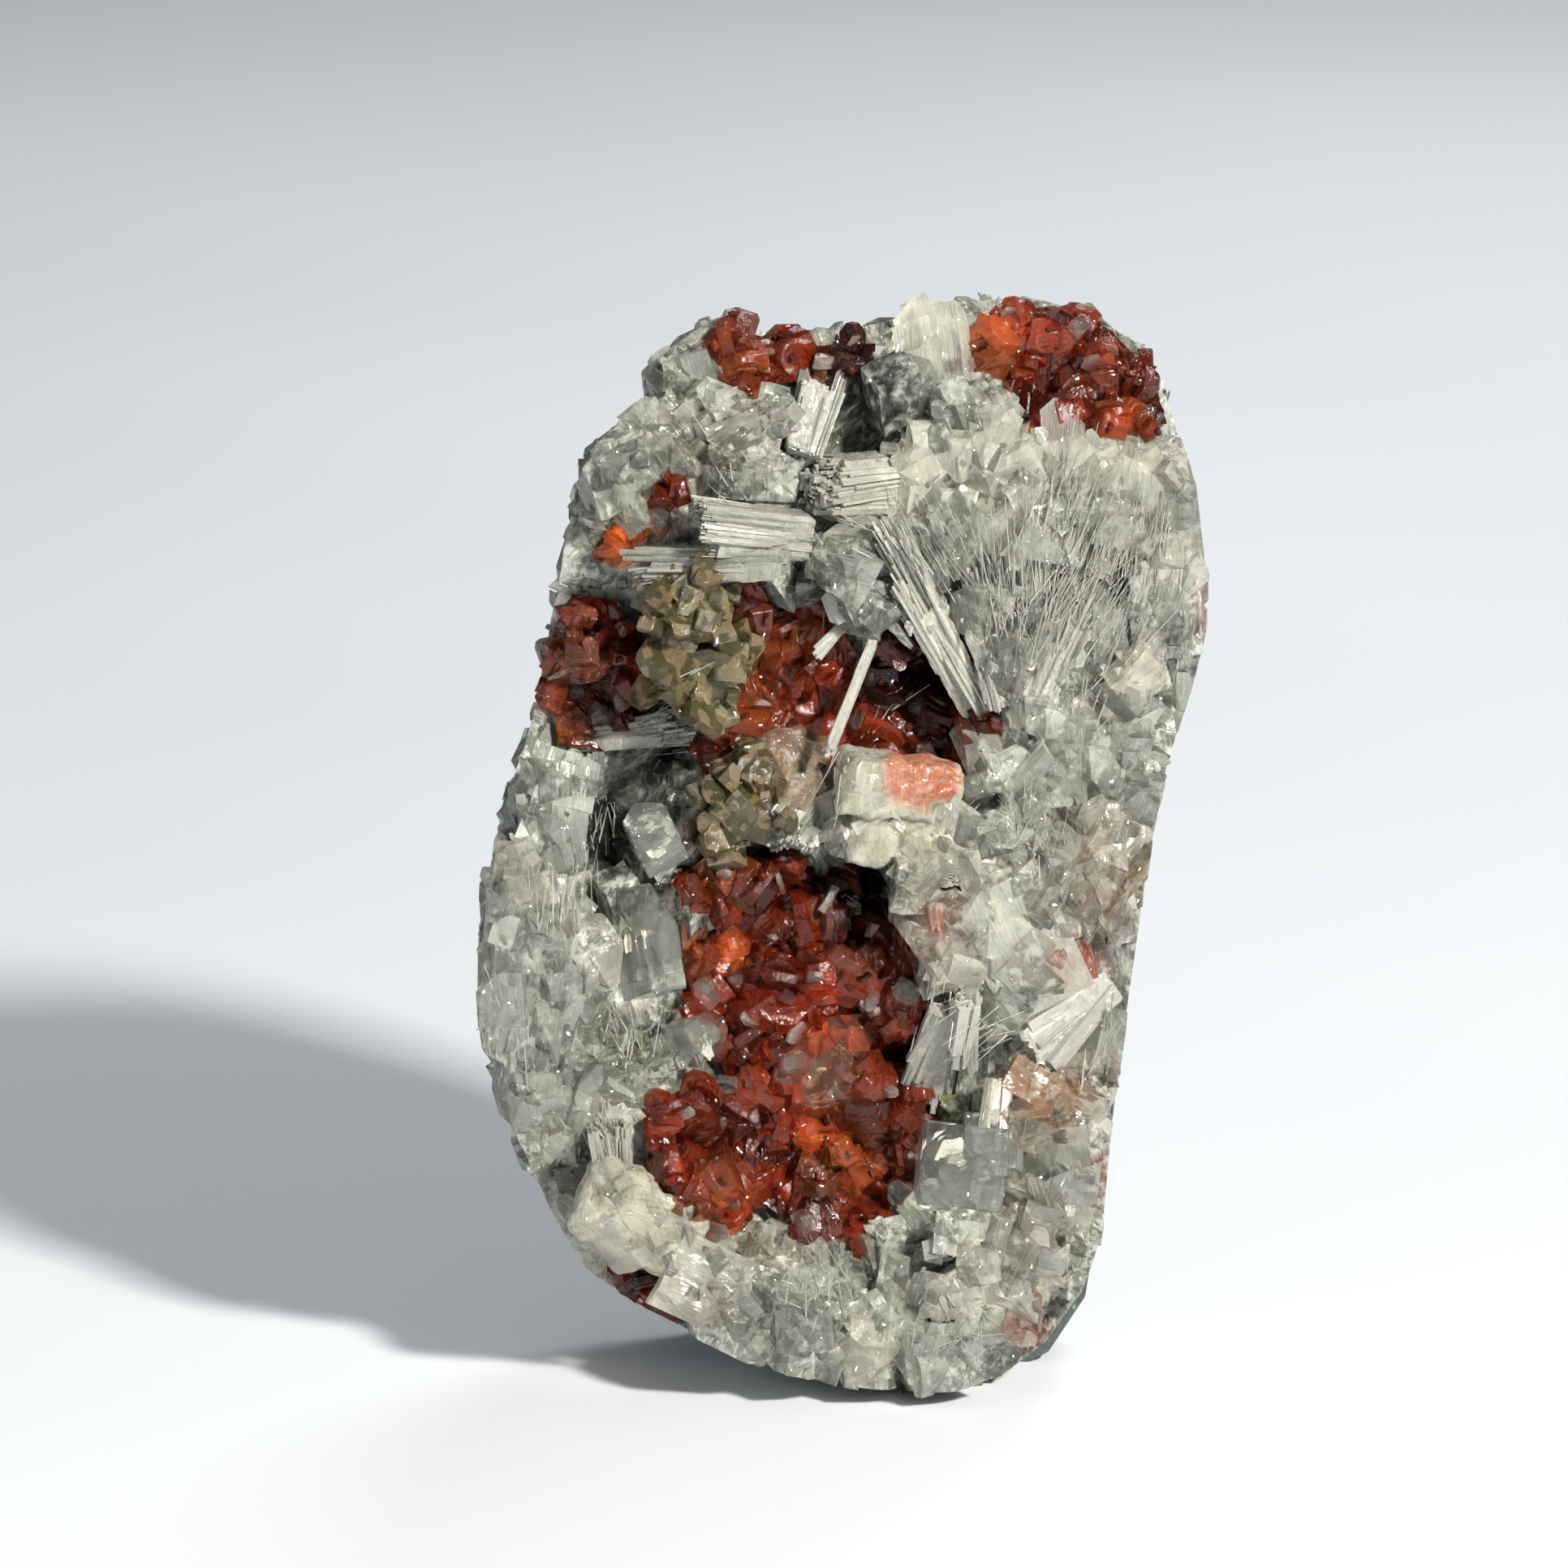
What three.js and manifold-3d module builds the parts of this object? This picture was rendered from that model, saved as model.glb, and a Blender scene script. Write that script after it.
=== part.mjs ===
// A hand-sized mineral specimen that stands on its ground foot: a slab of dark basalt whose front
// is grown over with pale green apophyllite, red heulandite in the hollows, white scolecite sprays
// and a few clear apophyllite crystals. Its right side, foot and lower left are ground smooth.
//
// Millimetres. The specimen is drawn with +X right, +Y up and +Z towards the viewer, and the group
// at the end turns it so that +Z is up and the grown face looks along -Y, origin on the foot.
import * as THREE from "three";
import { ConvexGeometry } from "three/addons/geometries/ConvexGeometry.js";
import { mergeVertices } from "three/addons/utils/BufferGeometryUtils.js";
import Module from "manifold-3d";

const wasm = await Module();
wasm.setup();

// Driving dimensions
const LOOKS_DOWN = THREE.MathUtils.degToRad(13); // the photograph looks down by this much
const READING_DEPTH = 12; // heights below are read off the photograph on this plane
const FOOT = { x: 3, depth: -9 }; // centre of the ground foot
const BACK = -22; // mean depth of the broken back
const SEAM = -3; // where basalt ends and the crust begins
const CREST = 12; // mean front of the crust
const RIM = 4; // front of the crust where it meets the ground edge
const GAP = 0.3; // room between pieces that grew against each other
const SEAT_GAP = 0.5; // the same, measured straight towards the viewer
const CRUST_CELL = 7.8; // grid of the crust's own relief
const BACK_CELL = 10.5;
const GRID = { left: -52, foot: -6, width: 104, height: 154 }; // what those grids cover
const OUTLINE_STEPS = 48;
const MIDDLE = { x: 0, y: 68 };
const FAR = 90; // past every side of the specimen
const CRUMB = 1; // a crystal cut down to less than this volume is left out
const SEEDS = { scolecite: 200, heulandite: 300 };

// A height read off the photograph is nearer the true one the closer its point is to that plane.
const UPRIGHT = 1 / Math.cos(LOOKS_DOWN);
const DROP = Math.tan(LOOKS_DOWN);
const realHeight = (h, z) => Math.max(0, h * UPRIGHT + (z - READING_DEPTH) * DROP);

// Outline of the crust, from its top left, clockwise: across, height.
const EDGE_DEPTH = 9;
const OUTLINE = [
  [-17, 132.8], [-13, 134], [-8.5, 131.5], [-2, 132.2], [4.5, 132.2], [10.5, 135.2], [14.4, 135],
  [21, 136], [30, 134.6], [36.6, 130.2], [40.4, 122.7], [43.2, 112.7], [45, 100.2], [44.6, 92.5],
  [41.6, 82.7], [39.8, 76.7], [38.2, 68.7], [36.4, 54.7], [34.6, 40.7], [33.4, 27.7], [32.2, 18],
  [28.4, 10.2], [22.5, 3.6], [16, 0.4], [8, 0.2], [-2, 1.8], [-12, 4.4], [-20, 8.6], [-27.6, 12.6],
  [-33.5, 18.2], [-38.2, 27.7], [-41.8, 37.7], [-44.4, 47], [-45, 57], [-43.2, 67], [-41, 75.2],
  [-38, 84.7], [-36.4, 93.7], [-34.4, 102.7], [-33, 110.2], [-31, 117.2], [-25, 121.2], [-23.4, 127.7],
];

// The basalt shows past the crust at the lower right, and keeps back from its edge elsewhere.
const BASALT_PROUD = { x: 27, y: 8, reach: 13, by: 2.2 };
const BASALT_INSET = 0.6;
const BASALT_EDGE = { back: BACK - 9, front: SEAM + 4, round: 2.5 };
const BACK_EDGE = { rise: 6, width: 10 }; // the back falls away towards the edge
const BACK_LUMPS = { count: 14, seed: 5, across: 42, from: 10, to: 132, half: [12, 24], by: [-3.2, 2.6] };

// Relief of the crust's front, as middle, half width and half height, and depth. A hollow pulls the
// surface to its floor, and a swell pushes it towards the viewer.
const HOLLOWS = [
  { at: [-6, 45], half: [15, 25], floor: 1 }, // the large red hollow, lower centre
  { at: [7, 27], half: [7, 8], floor: 0 },
  { at: [-9, 88], half: [13, 12], floor: 4 }, // the red hollow, upper centre
  { at: [10, 86], half: [8, 10], floor: -0.5 }, // the dark cave right of it
  { at: [-31, 88], half: [7, 9], floor: 2 }, // the red and dark hollow at the left edge
  { at: [-29, 70], half: [4.5, 6.5], floor: 0 }, // the dark green cleft
  { at: [3, 62.5], half: [6, 5], floor: -0.5 }, // the cave under the white mass
  { at: [-21, 83], half: [8, 3.5], floor: 1 }, // the shadow under the green crystals
  { at: [-26, 108], half: [5, 6], floor: 6 },
  { at: [11, 40], half: [4, 6], floor: 1 },
  { at: [-24, 12], half: [6, 6], floor: 3 },
  { at: [6, 118], half: [7, 6], floor: 6.5 },
  { at: [27, 127], half: [15, 8], floor: 6 },
  { at: [-6, 130], half: [10, 4], floor: 2 },
];
const SWELLS = [
  { at: [22, 98], half: [20, 20], by: 4 }, // the great spray, upper right
  { at: [-15, 106], half: [12, 6], by: 3 },
  { at: [-37, 48], half: [9, 24], by: 2.5 }, // the left flank
  { at: [2, 9], half: [26, 9], by: 3 }, // the foot's band
  { at: [20, 29], half: [11, 12], by: 2 },
  { at: [-27, 23], half: [10, 7], by: 2.5 },
  { at: [22, 66], half: [12, 14], by: 2.5 },
  { at: [4, 71], half: [9, 6], by: 2 },
];
const BELL = { steep: 1.5, full: 0.35 }; // how fast a hollow or swell comes in, and its flat middle
const RIM_START = 0.2; // how far up its shoulder the crust is at the very edge
const SHOULDER = 5; // how far in from the outline the crust reaches its full depth
const TOP_SHOULDER = 15; // and at the top, where it falls away to the back
const TOP_FROM = 112;

// Places below are given as across, height and how far the middle stands proud of the crust.
// Apophyllite crystals of the crust itself: place, then width, length, thickness, then lean (the
// tip comes forward), spin (on its own axis) and roll (anticlockwise on the face), in degrees.
const CRUST_CRYSTALS = [
  [-20, 126.5, 1.0, 6.5, 7, 6, 20, 20, 10],
  [-27, 115.5, 0.5, 10.5, 9, 7, 10, 15, 18],
  [-10.5, 118, 0.5, 10, 12, 8, 15, 12, -6],
  [6.6, 124.6, 2.5, 8, 8, 6, 35, 20, 14],
  [15.4, 120.5, 2.5, 10, 10, 7, 28, 30, -18],
  [23.6, 115.4, 4.0, 5, 13, 5, 4, 35, 86],
  [38, 114, 0.5, 9, 8, 8, 15, 10, 5],
  [8.4, 115, 2.2, 9, 9, 7, 25, 15, -40],
  [2.2, 102.6, 2.6, 9.5, 9, 8, 30, 20, 22],
  [29, 108, 0.8, 11, 9, 8, 20, 15, -12],
  [36.2, 90.6, 2.4, 6.5, 6.5, 6, 30, 25, 10],
  [27, 84, 1.0, 8, 7, 6, 25, 30, 20],
  [32.2, 77.5, 1.8, 9, 10.5, 7, 20, 22, 8],
  [22, 77.4, 1.4, 6, 11, 6, 20, 10, 78],
  [20.4, 69.2, 2.0, 8, 8, 7, 35, 40, -15],
  [21, 61.4, 2.6, 9, 10, 7, 10, 18, -24],
  [29.8, 65, 0.2, 10, 12, 8, 12, 30, 6],
  [11, 64.8, 2.8, 10, 6.5, 7, 30, 12, -12],
  [14.6, 56.6, 1.6, 8, 8, 7, 25, 15, -20],
  [27.4, 37.4, 0.2, 10, 10, 8, 12, 10, -6],
  [17.6, 20.6, 2.6, 7.5, 13, 7.5, 6, 12, 84],
  [25.5, 27, 1.4, 7, 8, 6, 25, 40, -30],
  [29.8, 18.6, 0.2, 7, 10, 7, 12, 20, 6],
  [6.4, 17, 2.0, 7, 10.5, 6, 20, 25, -4],
  [12.4, 5.6, 1.0, 9.5, 8.5, 7, 20, 20, 12],
  [-13.6, 10.4, 1.0, 10, 11, 7, 12, 10, 4],
  [-3.8, 8.4, 1.0, 9, 10, 7, 15, 30, -10],
  [3, 6, 1.4, 6.5, 9, 6, 15, 10, 4],
  [-39.4, 39, 1.6, 6, 8.5, 6, 8, 10, -74],
  [-41, 66.8, 0.2, 5, 6, 6, 5, 15, -10],
  [-31.4, 55, 2.2, 6.5, 6, 5, 35, 30, 20],
  [-37.8, 63, 1.4, 7, 8, 6, 25, 20, 10],
  [-37, 54, 1.0, 8, 9, 7, 20, 15, -16],
  [-38.6, 46.4, 0.8, 8, 9, 7, 15, 25, 8],
  [-36.2, 73.6, 0.8, 7, 9, 6, 20, 15, -8],
  [-23.6, 76.6, 2.4, 6, 7, 5, 30, 20, 34],
  [-27, 62, 0.6, 6, 7, 6, 25, 20, 16],
  [-26, 46, 0.4, 6, 7, 6, 25, 35, -16],
  [35.4, 62, -0.4, 7, 9, 7, 8, 10, 4],
  [38.6, 99, 0.2, 9, 13, 8, 8, 15, 3],
];

const CUT_CORNERS_FROM = 9; // the crust's wider crystals show their cut corners

// Smaller ones between them, sown at random where nothing else grows.
const SOWN = {
  count: 13, seed: 11, tries: 3000, across: 44, from: 3, to: 132, hollow: 0.3, margin: 3.4, apart: 6.4,
  width: [3.8, 6.4], length: 1.2, thick: 0.85, proud: [0, 1], lean: [5, 55], spin: [0, 90], roll: 50,
};

// Lone apophyllite crystals that stand out of the rest, clear or with green inclusions.
const LONE_CRYSTALS = {
  crown: [10.9, 132, 3.2, 6.6, 8.6, 6, 12, 20, -6],
  prism: [27.4, 120.4, 6.4, 2.8, 6, 2.6, 20, 20, -16],
  green_upper: [-18, 98.4, 6.0, 9.4, 6, 5, 25, 15, 6],
  green_round: [-18, 91, 7.4, 9, 8.4, 6, 35, 30, 14],
  green_centre: [-12.2, 74.4, 4.8, 8, 8, 6, 35, 40, 10],
  tan: [-7.6, 80.4, 5.8, 5, 11, 4.6, 6, 20, 74],
  clear_tooth: [-23.4, 69.6, 5.6, 4.8, 6.8, 4.4, -20, 20, 170],
  clear_long: [-24.2, 56.6, 4.2, 5.2, 13, 4.8, -6, 15, 176],
  clear_glint: [-18.6, 44.6, 5.2, 5.6, 6, 5, 35, 20, 8],
  amber_block: [-0.4, 41.6, 6.6, 6, 6, 5, 40, 30, 12],
  lower_clear: [14.9, 29.2, 5.0, 6.6, 9, 5.4, 12, 20, -64],
};

// White scolecite: rods that fan from a root to their tips. wide and deep are a bundle's size at
// its tips, and root is the share of that at its root.
const SCOLECITE = {
  bar_upper: { from: [-4, 106.6, 2.6], to: [-18.4, 107.6, 4.4], wide: 6.2, deep: 5.5, root: 0.9, rods: 2 },
  bar_lower: { from: [-7, 103.4, 2.4], to: [-26, 102.4, 4.6], wide: 4.4, deep: 4.5, root: 0.8, rods: 2 },
  cream_block: { from: [8, 113.6, 1.2], to: [-3, 112, 4.6], wide: 7.6, deep: 6, root: 0.9, rods: 2 },
  blade: { from: [-4.8, 116.4, 0.6], to: [-1.6, 127, 4.4], wide: 5.6, deep: 4, root: 0.8, rods: 2 },
  fan_left: { from: [17, 85, 1.6], to: [3.6, 109, 3.4], wide: 6.5, deep: 4, root: 0.5, rods: 2 },
  fan_middle: { from: [20, 86, 1.4], to: [17, 107, 2.2], wide: 8, deep: 4, root: 0.5, rods: 2 },
  fan_right: { from: [23.2, 86.4, 1.6], to: [33.4, 110.4, 1.8], wide: 9, deep: 4, root: 0.5, rods: 3 },
  shelf: { from: [-33, 81.8, 3.8], to: [-18.4, 83.4, 7.2], wide: 3.4, deep: 4, root: 0.8, rods: 2 },
  plate: { from: [-1.6, 78, 1.0], to: [-7.6, 68, 6.0], wide: 7.4, deep: 3.6, root: 0.7, rods: 2 },
  white_mass: { from: [14, 73, -0.4], to: [-1.4, 73.8, 4.2], wide: 13, deep: 7.5, root: 0.85, rods: 2 },
  tail: { from: [7, 66, 2.0], to: [15.6, 65.4, 4.2], wide: 3.4, deep: 3, root: 0.9, rods: 1 },
  upright: { from: [15.2, 41.6, 1.6], to: [15.8, 51.4, 4.8], wide: 3, deep: 3, root: 0.9, rods: 1 },
  falling_spray: { from: [13, 48.4, 1.0], to: [9.8, 35.4, 4.4], wide: 6.5, deep: 3, root: 0.4, rods: 2 },
  diagonal: { from: [33.4, 51.6, 0.2], to: [20.4, 40.6, 4.6], wide: 6.2, deep: 5, root: 0.5, rods: 2 },
  stem: { from: [19.6, 39.6, 1.6], to: [19, 32.6, 4.0], wide: 3, deep: 3, root: 0.9, rods: 1 },
  cream_tablet: { from: [-18.6, 18.6, 0.6], to: [-34, 27.6, 3.2], wide: 9.4, deep: 6, root: 0.9, rods: 1 },
  stub: { from: [-28, 27.6, 0.6], to: [-28.8, 34.8, 3.6], wide: 5, deep: 3.4, root: 0.9, rods: 1 },
  rosette: { from: [10.6, 11.6, 0.6], to: [18.6, 15, 3.4], wide: 7, deep: 4, root: 0.4, rods: 2 },
};
const ROD_FILL = 1.16; // a rod is this much wider than its share, so that it meets its neighbours
const ROD_UNEVEN = { forward: 0.12, shorter: 0.14 }; // shares of the bundle's depth and length

// Two lone needles across the cave's mouth: across, height and depth of each end, and width.
const NEEDLES = {
  needle_long: { from: [5.2, 97.4, 14], to: [-1.6, 80, 17.5], width: 1.5 },
  needle_short: { from: [2.2, 98, 13.6], to: [-3.4, 92.2, 16.4], width: 1.1 },
};

// Red heulandite: each cluster is a thin bed that lines its hollow, inside an outline of across and
// height, with lumps of tablets on it, each lump a place and a radius.
const BED = 1.8;
const DOME_RISE = 0.4; // the bed swells under each lump, by this share of the lump's radius
const DOME_SPREAD = 1.7; // and as far out as this
// A lump's tablets: sizes and places as shares of its radius, and how far they tilt, in degrees
const TABLET = {
  width: [1.1, 1.5], length: [1.5, 1.9], thick: [0.5, 0.75], tilt: [15, 50], sunk: 0.4, out: 0.35,
};
const PAIR_FROM = 4.3; // wider lumps have two tablets
const HEULANDITE = {
  top_left: {
    bed: [
      [-17.6, 126], [-17, 131], [-13, 133], [-6, 131], [1, 131.4], [4.2, 130.6], [4, 127], [-5, 125],
      [-12, 124],
    ],
    lumps: [[-13.4, 129.2, 3.4, 5.2], [-7, 128.4, 3.2, 4.8], [-0.6, 128.4, 3.2, 4.8]],
  },
  top_right: {
    bed: [
      [14, 124], [14, 131], [18, 134.4], [26, 134.6], [33, 132], [38, 127.5], [40, 121], [34, 119],
      [22, 122],
    ],
    lumps: [
      [17.8, 129.4, 2.0, 4.8], [24.4, 131.4, 1.4, 5.2], [30.8, 129.4, 1.8, 5.6], [25, 125, 2.4, 5.2],
      [34.4, 123.6, 1.6, 5],
    ],
  },
  left_upper: {
    bed: [[-29.6, 105], [-28.5, 109], [-24, 113], [-20.5, 112.5], [-21.5, 108], [-27, 103.8]],
    lumps: [[-26.6, 107.6, 1.0, 3.8], [-23.4, 111, 1.0, 3.2]],
  },
  left_edge: {
    bed: [[-35.4, 96], [-33, 99.4], [-27.4, 98], [-25, 92], [-26, 84], [-29, 81], [-35, 82], [-35.6, 89]],
    lumps: [
      [-33, 95.6, 1.6, 4.4], [-28.6, 94.4, 2.0, 4.2], [-33.2, 89.6, 1.6, 4.2], [-29.4, 87.6, 1.8, 4.2],
      [-32.8, 84, 1.6, 3.4],
    ],
  },
  upper_centre: {
    bed: [
      [-13, 100.5], [-6, 100], [-1.5, 97], [1.9, 92], [0.5, 85], [-5, 79], [-11, 78.5], [-18, 78.5],
      [-19.6, 83], [-17, 88], [-16, 94],
    ],
    lumps: [
      [-10.6, 96, 1.8, 5.6], [-4.2, 93, 1.8, 5.8], [-9.6, 88.4, 2.0, 5.6], [-1.6, 87.4, 1.8, 4.8],
      [-13.4, 82.6, 2.2, 5.2],
    ],
  },
  cave: {
    bed: [[4.9, 93], [10, 94], [15, 92], [16.5, 86], [16.9, 80], [13, 76.5], [8, 77], [4, 80], [3.5, 87]],
    lumps: [
      [8, 90, 1.0, 3.6], [12, 83.4, 2.6, 4.6], [13.6, 79.2, 3.0, 4.0], [14.4, 88, 1.2, 3.4],
      [7.4, 81, 1.6, 3.6],
    ],
  },
  lower_centre: {
    bed: [
      [-20, 67], [-6, 67], [0.5, 62], [8, 58.5], [10.5, 50], [11, 34], [6.5, 22], [-4, 20], [-10, 25],
      [-16, 20], [-24, 26], [-24.5, 34], [-14, 41], [-19.5, 53],
    ],
    lumps: [
      [-14, 63, 2.6, 6.4], [-3.6, 61, 2.6, 6.6], [-11, 54, 2.4, 6.4], [4.4, 52.4, 4.2, 6.8],
      [-6.6, 45.6, 2.4, 6.6], [5.6, 38, 3.8, 6.8], [-8, 36, 2.8, 6], [-18.4, 28.4, 3.4, 6.6],
      [-2.6, 28.6, 5, 7.4],
    ],
  },
  lower_left: {
    bed: [[-28.6, 15], [-26, 18], [-19, 16.5], [-17.6, 11], [-21, 9], [-26, 11]],
    lumps: [[-26, 14.4, 1.4, 3.4], [-21.4, 13, 1.0, 3.2]],
  },
};

const COLOURS = {
  clear: new THREE.MeshStandardMaterial({ color: 0xdfe5da, roughness: 0.08, metalness: 0 }),
  white: new THREE.MeshStandardMaterial({ color: 0xe8e9e2, roughness: 0.35, metalness: 0 }),
  red: new THREE.MeshStandardMaterial({ color: 0xa8341a, roughness: 0.25, metalness: 0 }),
  pale: new THREE.MeshStandardMaterial({ color: 0xb6c0b0, roughness: 0.25, metalness: 0 }),
  basalt: new THREE.MeshStandardMaterial({ color: 0x4a5350, roughness: 0.8, metalness: 0 }),
};

// A repeatable random source: each build grows the same crystals.
function seeded(seed) {
  let state = seed;
  const next = () => {
    state = (state + 0x6d2b79f5) | 0;
    let t = Math.imul(state ^ (state >>> 15), 1 | state);
    t = (t + Math.imul(t ^ (t >>> 7), 61 | t)) ^ t;
    return ((t ^ (t >>> 14)) >>> 0) / 4294967296;
  };
  return {
    between: (low, high) => low + (high - low) * next(),
    spread: (half) => half * (2 * next() - 1),
  };
}

const smooth = (t) => {
  const c = THREE.MathUtils.clamp(t, 0, 1);
  return c * c * (3 - 2 * c);
};

// Outline and relief
function closedOutline() {
  const points = OUTLINE.map(([x, h]) => new THREE.Vector2(x, realHeight(h, EDGE_DEPTH)));
  const curve = new THREE.SplineCurve([...points, points[0]]);
  const steps = curve.getPoints(OUTLINE_STEPS).slice(0, -1);
  return steps.map((p) => new THREE.Vector2(p.x, Math.max(0, p.y)));
}
const outline = closedOutline();

function basaltOutline() {
  const middle = new THREE.Vector2(MIDDLE.x, MIDDLE.y);
  return outline.map((p) => {
    const near = Math.hypot(p.x - BASALT_PROUD.x, p.y - BASALT_PROUD.y) / BASALT_PROUD.reach;
    const out = (BASALT_PROUD.by + BASALT_INSET) * Math.max(0, 1 - near * near) - BASALT_INSET;
    return p.clone().addScaledVector(p.clone().sub(middle).normalize(), out);
  });
}

const nextPoint = (i) => outline[(i + 1) % outline.length];

function edgeDistance(x, y) {
  let least = Infinity;
  outline.forEach((a, i) => {
    const b = nextPoint(i);
    const t = ((x - a.x) * (b.x - a.x) + (y - a.y) * (b.y - a.y)) / a.distanceToSquared(b);
    const s = THREE.MathUtils.clamp(t, 0, 1);
    least = Math.min(least, Math.hypot(x - a.x - s * (b.x - a.x), y - a.y - s * (b.y - a.y)));
  });
  return least;
}

function insideOutline(x, y) {
  let inside = false;
  outline.forEach((a, i) => {
    const b = nextPoint(i);
    if (a.y > y !== b.y > y && x < a.x + ((y - a.y) * (b.x - a.x)) / (b.y - a.y)) inside = !inside;
  });
  return inside;
}

// How strongly a hollow or swell works at a point, from 0 outside it to 1 at its middle.
function bell(x, y, { at, half }, depth) {
  const dx = (x - at[0]) / half[0];
  const dy = (y - realHeight(at[1], depth)) / half[1];
  return smooth(BELL.steep * (1 - Math.hypot(dx, dy)) + BELL.full);
}

function relief(x, y) {
  let depth = CREST;
  for (const swell of SWELLS) depth += swell.by * bell(x, y, swell, CREST);
  const shoulder = SHOULDER + (TOP_SHOULDER - SHOULDER) * smooth((y - TOP_FROM) / TOP_SHOULDER);
  depth = RIM + (depth - RIM) * smooth(RIM_START + edgeDistance(x, y) / shoulder);
  for (const hollow of HOLLOWS) {
    depth += (hollow.floor - depth) * bell(x, y, hollow, hollow.floor);
  }
  return depth;
}

// Where a place on the crust really lies: its height depends on the depth there, and that on it.
function seat(x, h, proud) {
  let y = h * UPRIGHT;
  let z = CREST;
  for (let pass = 0; pass < 4; pass++) {
    z = relief(x, y) + proud;
    y = realHeight(h, z);
  }
  return new THREE.Vector3(x, y, z);
}

// Solids from geometry and back
function solidOf(geometry) {
  const bare = geometry.clone();
  bare.deleteAttribute("normal");
  bare.deleteAttribute("uv");
  const merged = mergeVertices(bare, 1e-4);
  return new wasm.Manifold(new wasm.Mesh({
    numProp: 3,
    vertProperties: new Float32Array(merged.attributes.position.array),
    triVerts: new Uint32Array(merged.index.array),
  }));
}

function geometryOf(solid) {
  const mesh = solid.getMesh();
  const geometry = new THREE.BufferGeometry();
  geometry.setAttribute("position", new THREE.BufferAttribute(mesh.vertProperties, 3));
  geometry.setIndex(new THREE.BufferAttribute(mesh.triVerts, 1));
  geometry.computeVertexNormals();
  return geometry;
}

function box(low, high) {
  const size = new THREE.Vector3().subVectors(high, low);
  const geometry = new THREE.BoxGeometry(size.x, size.y, size.z);
  geometry.translate(...low.clone().addScaledVector(size, 0.5).toArray());
  return solidOf(geometry);
}

const joined = (solids) => solids.reduce((whole, next) => whole.add(next));
const overlaps = (a, b) => a.intersect(b).volume() > 0;
const without = (solid, others) =>
  others.reduce((rest, other) => (overlaps(rest, other) ? rest.subtract(other) : rest), solid);

// The largest body of a cut solid, without the crumbs that a cut leaves.
const largest = (solid) => solid.decompose().reduce((a, b) => (b.volume() > a.volume() ? b : a));

// Crystal forms. Each is the corners of a convex solid round its own middle, long along +Y.
// Apophyllite: a squarish prism whose far corners are cut by slanting faces.
function blockCorners({ width, length, thick }, cut = 0.6) {
  const [a, b, c] = [width / 2, length / 2, thick / 2];
  const bite = cut * Math.min(a, c);
  const points = [];
  for (const i of [-1, 1]) {
    for (const k of [-1, 1]) {
      points.push(new THREE.Vector3(i * a, -b, k * c));
      points.push(new THREE.Vector3(i * (a - bite), b, k * c));
      points.push(new THREE.Vector3(i * a, b, k * (c - bite)));
      points.push(new THREE.Vector3(i * a, b - bite * 1.3, k * c));
    }
  }
  return points;
}

// A small crystal of the crust: a squarish prism that narrows to its end.
function taperCorners({ width, length, thick }, narrowed = 0.75) {
  const [a, b, c] = [width / 2, length / 2, thick / 2];
  const points = [];
  for (const i of [-1, 1]) {
    for (const k of [-1, 1]) {
      points.push(new THREE.Vector3(i * a, -b, k * c));
      points.push(new THREE.Vector3(i * a * narrowed, b, k * c * narrowed));
    }
  }
  return points;
}

// The straight block that just holds a crystal of that size.
const boxCorners = (size) => taperCorners(size, 1);

// Heulandite: a flat blade, thinner and slanting at its tip.
function bladeCorners({ width, length, thick }) {
  const [a, b, c] = [width / 2, length / 2, thick / 2];
  const points = [];
  for (const k of [-1, 1]) {
    points.push(new THREE.Vector3(-a * 0.8, -b, k * c));
    points.push(new THREE.Vector3(a * 0.8, -b, k * c));
    points.push(new THREE.Vector3(-a * 0.3, b, k * c * 0.6));
    points.push(new THREE.Vector3(a, b * 0.35, k * c * 0.7));
  }
  return points;
}

// Scolecite: a slender square prism with a slanting end.
function rodCorners({ width, length, thick }) {
  const [a, b, c] = [width / 2, length / 2, thick / 2];
  const points = [];
  for (const k of [-1, 1]) {
    for (const i of [-1, 1]) {
      points.push(new THREE.Vector3(i * a * 0.85, -b, k * c * 0.85));
      points.push(new THREE.Vector3(i * a, b - (k * i + 1) * a * 0.25, k * c));
    }
  }
  return points;
}

// The same corners pushed out by grow on every side.
function grownCorners(points, grow) {
  const half = new THREE.Box3().setFromPoints(points).getSize(new THREE.Vector3()).multiplyScalar(0.5);
  const wider = new THREE.Vector3(1 + grow / half.x, 1 + grow / half.y, 1 + grow / half.z);
  return points.map((p) => p.clone().multiply(wider));
}

function moved(points, axes, centre) {
  return points.map((p) => p.clone().applyMatrix4(axes).add(centre));
}

const hullOf = (points) => solidOf(new ConvexGeometry(points));

// A crystal as its row in the tables above gives it.
function tableCrystal([x, h, proud, width, length, thick, lean, spin, roll], form, grow = 0) {
  const turn = new THREE.Euler(...[lean, spin, roll].map(THREE.MathUtils.degToRad), "ZXY");
  const axes = new THREE.Matrix4().makeRotationFromEuler(turn);
  return moved(grownCorners(form({ width, length, thick }), grow), axes, seat(x, h, proud));
}

// Corners of a rod between two points, its broad side along sideways.
function rodBetween(start, end, width, thick, sideways, grow) {
  const along = end.clone().sub(start);
  const up = along.clone().normalize();
  const side = sideways.clone().addScaledVector(up, -sideways.dot(up)).normalize();
  const out = new THREE.Vector3().crossVectors(side, up);
  const axes = new THREE.Matrix4().makeBasis(side, up, out);
  const corners = rodCorners({ width, length: along.length(), thick });
  return moved(grownCorners(corners, grow), axes, start.clone().lerp(end, 0.5));
}

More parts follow.
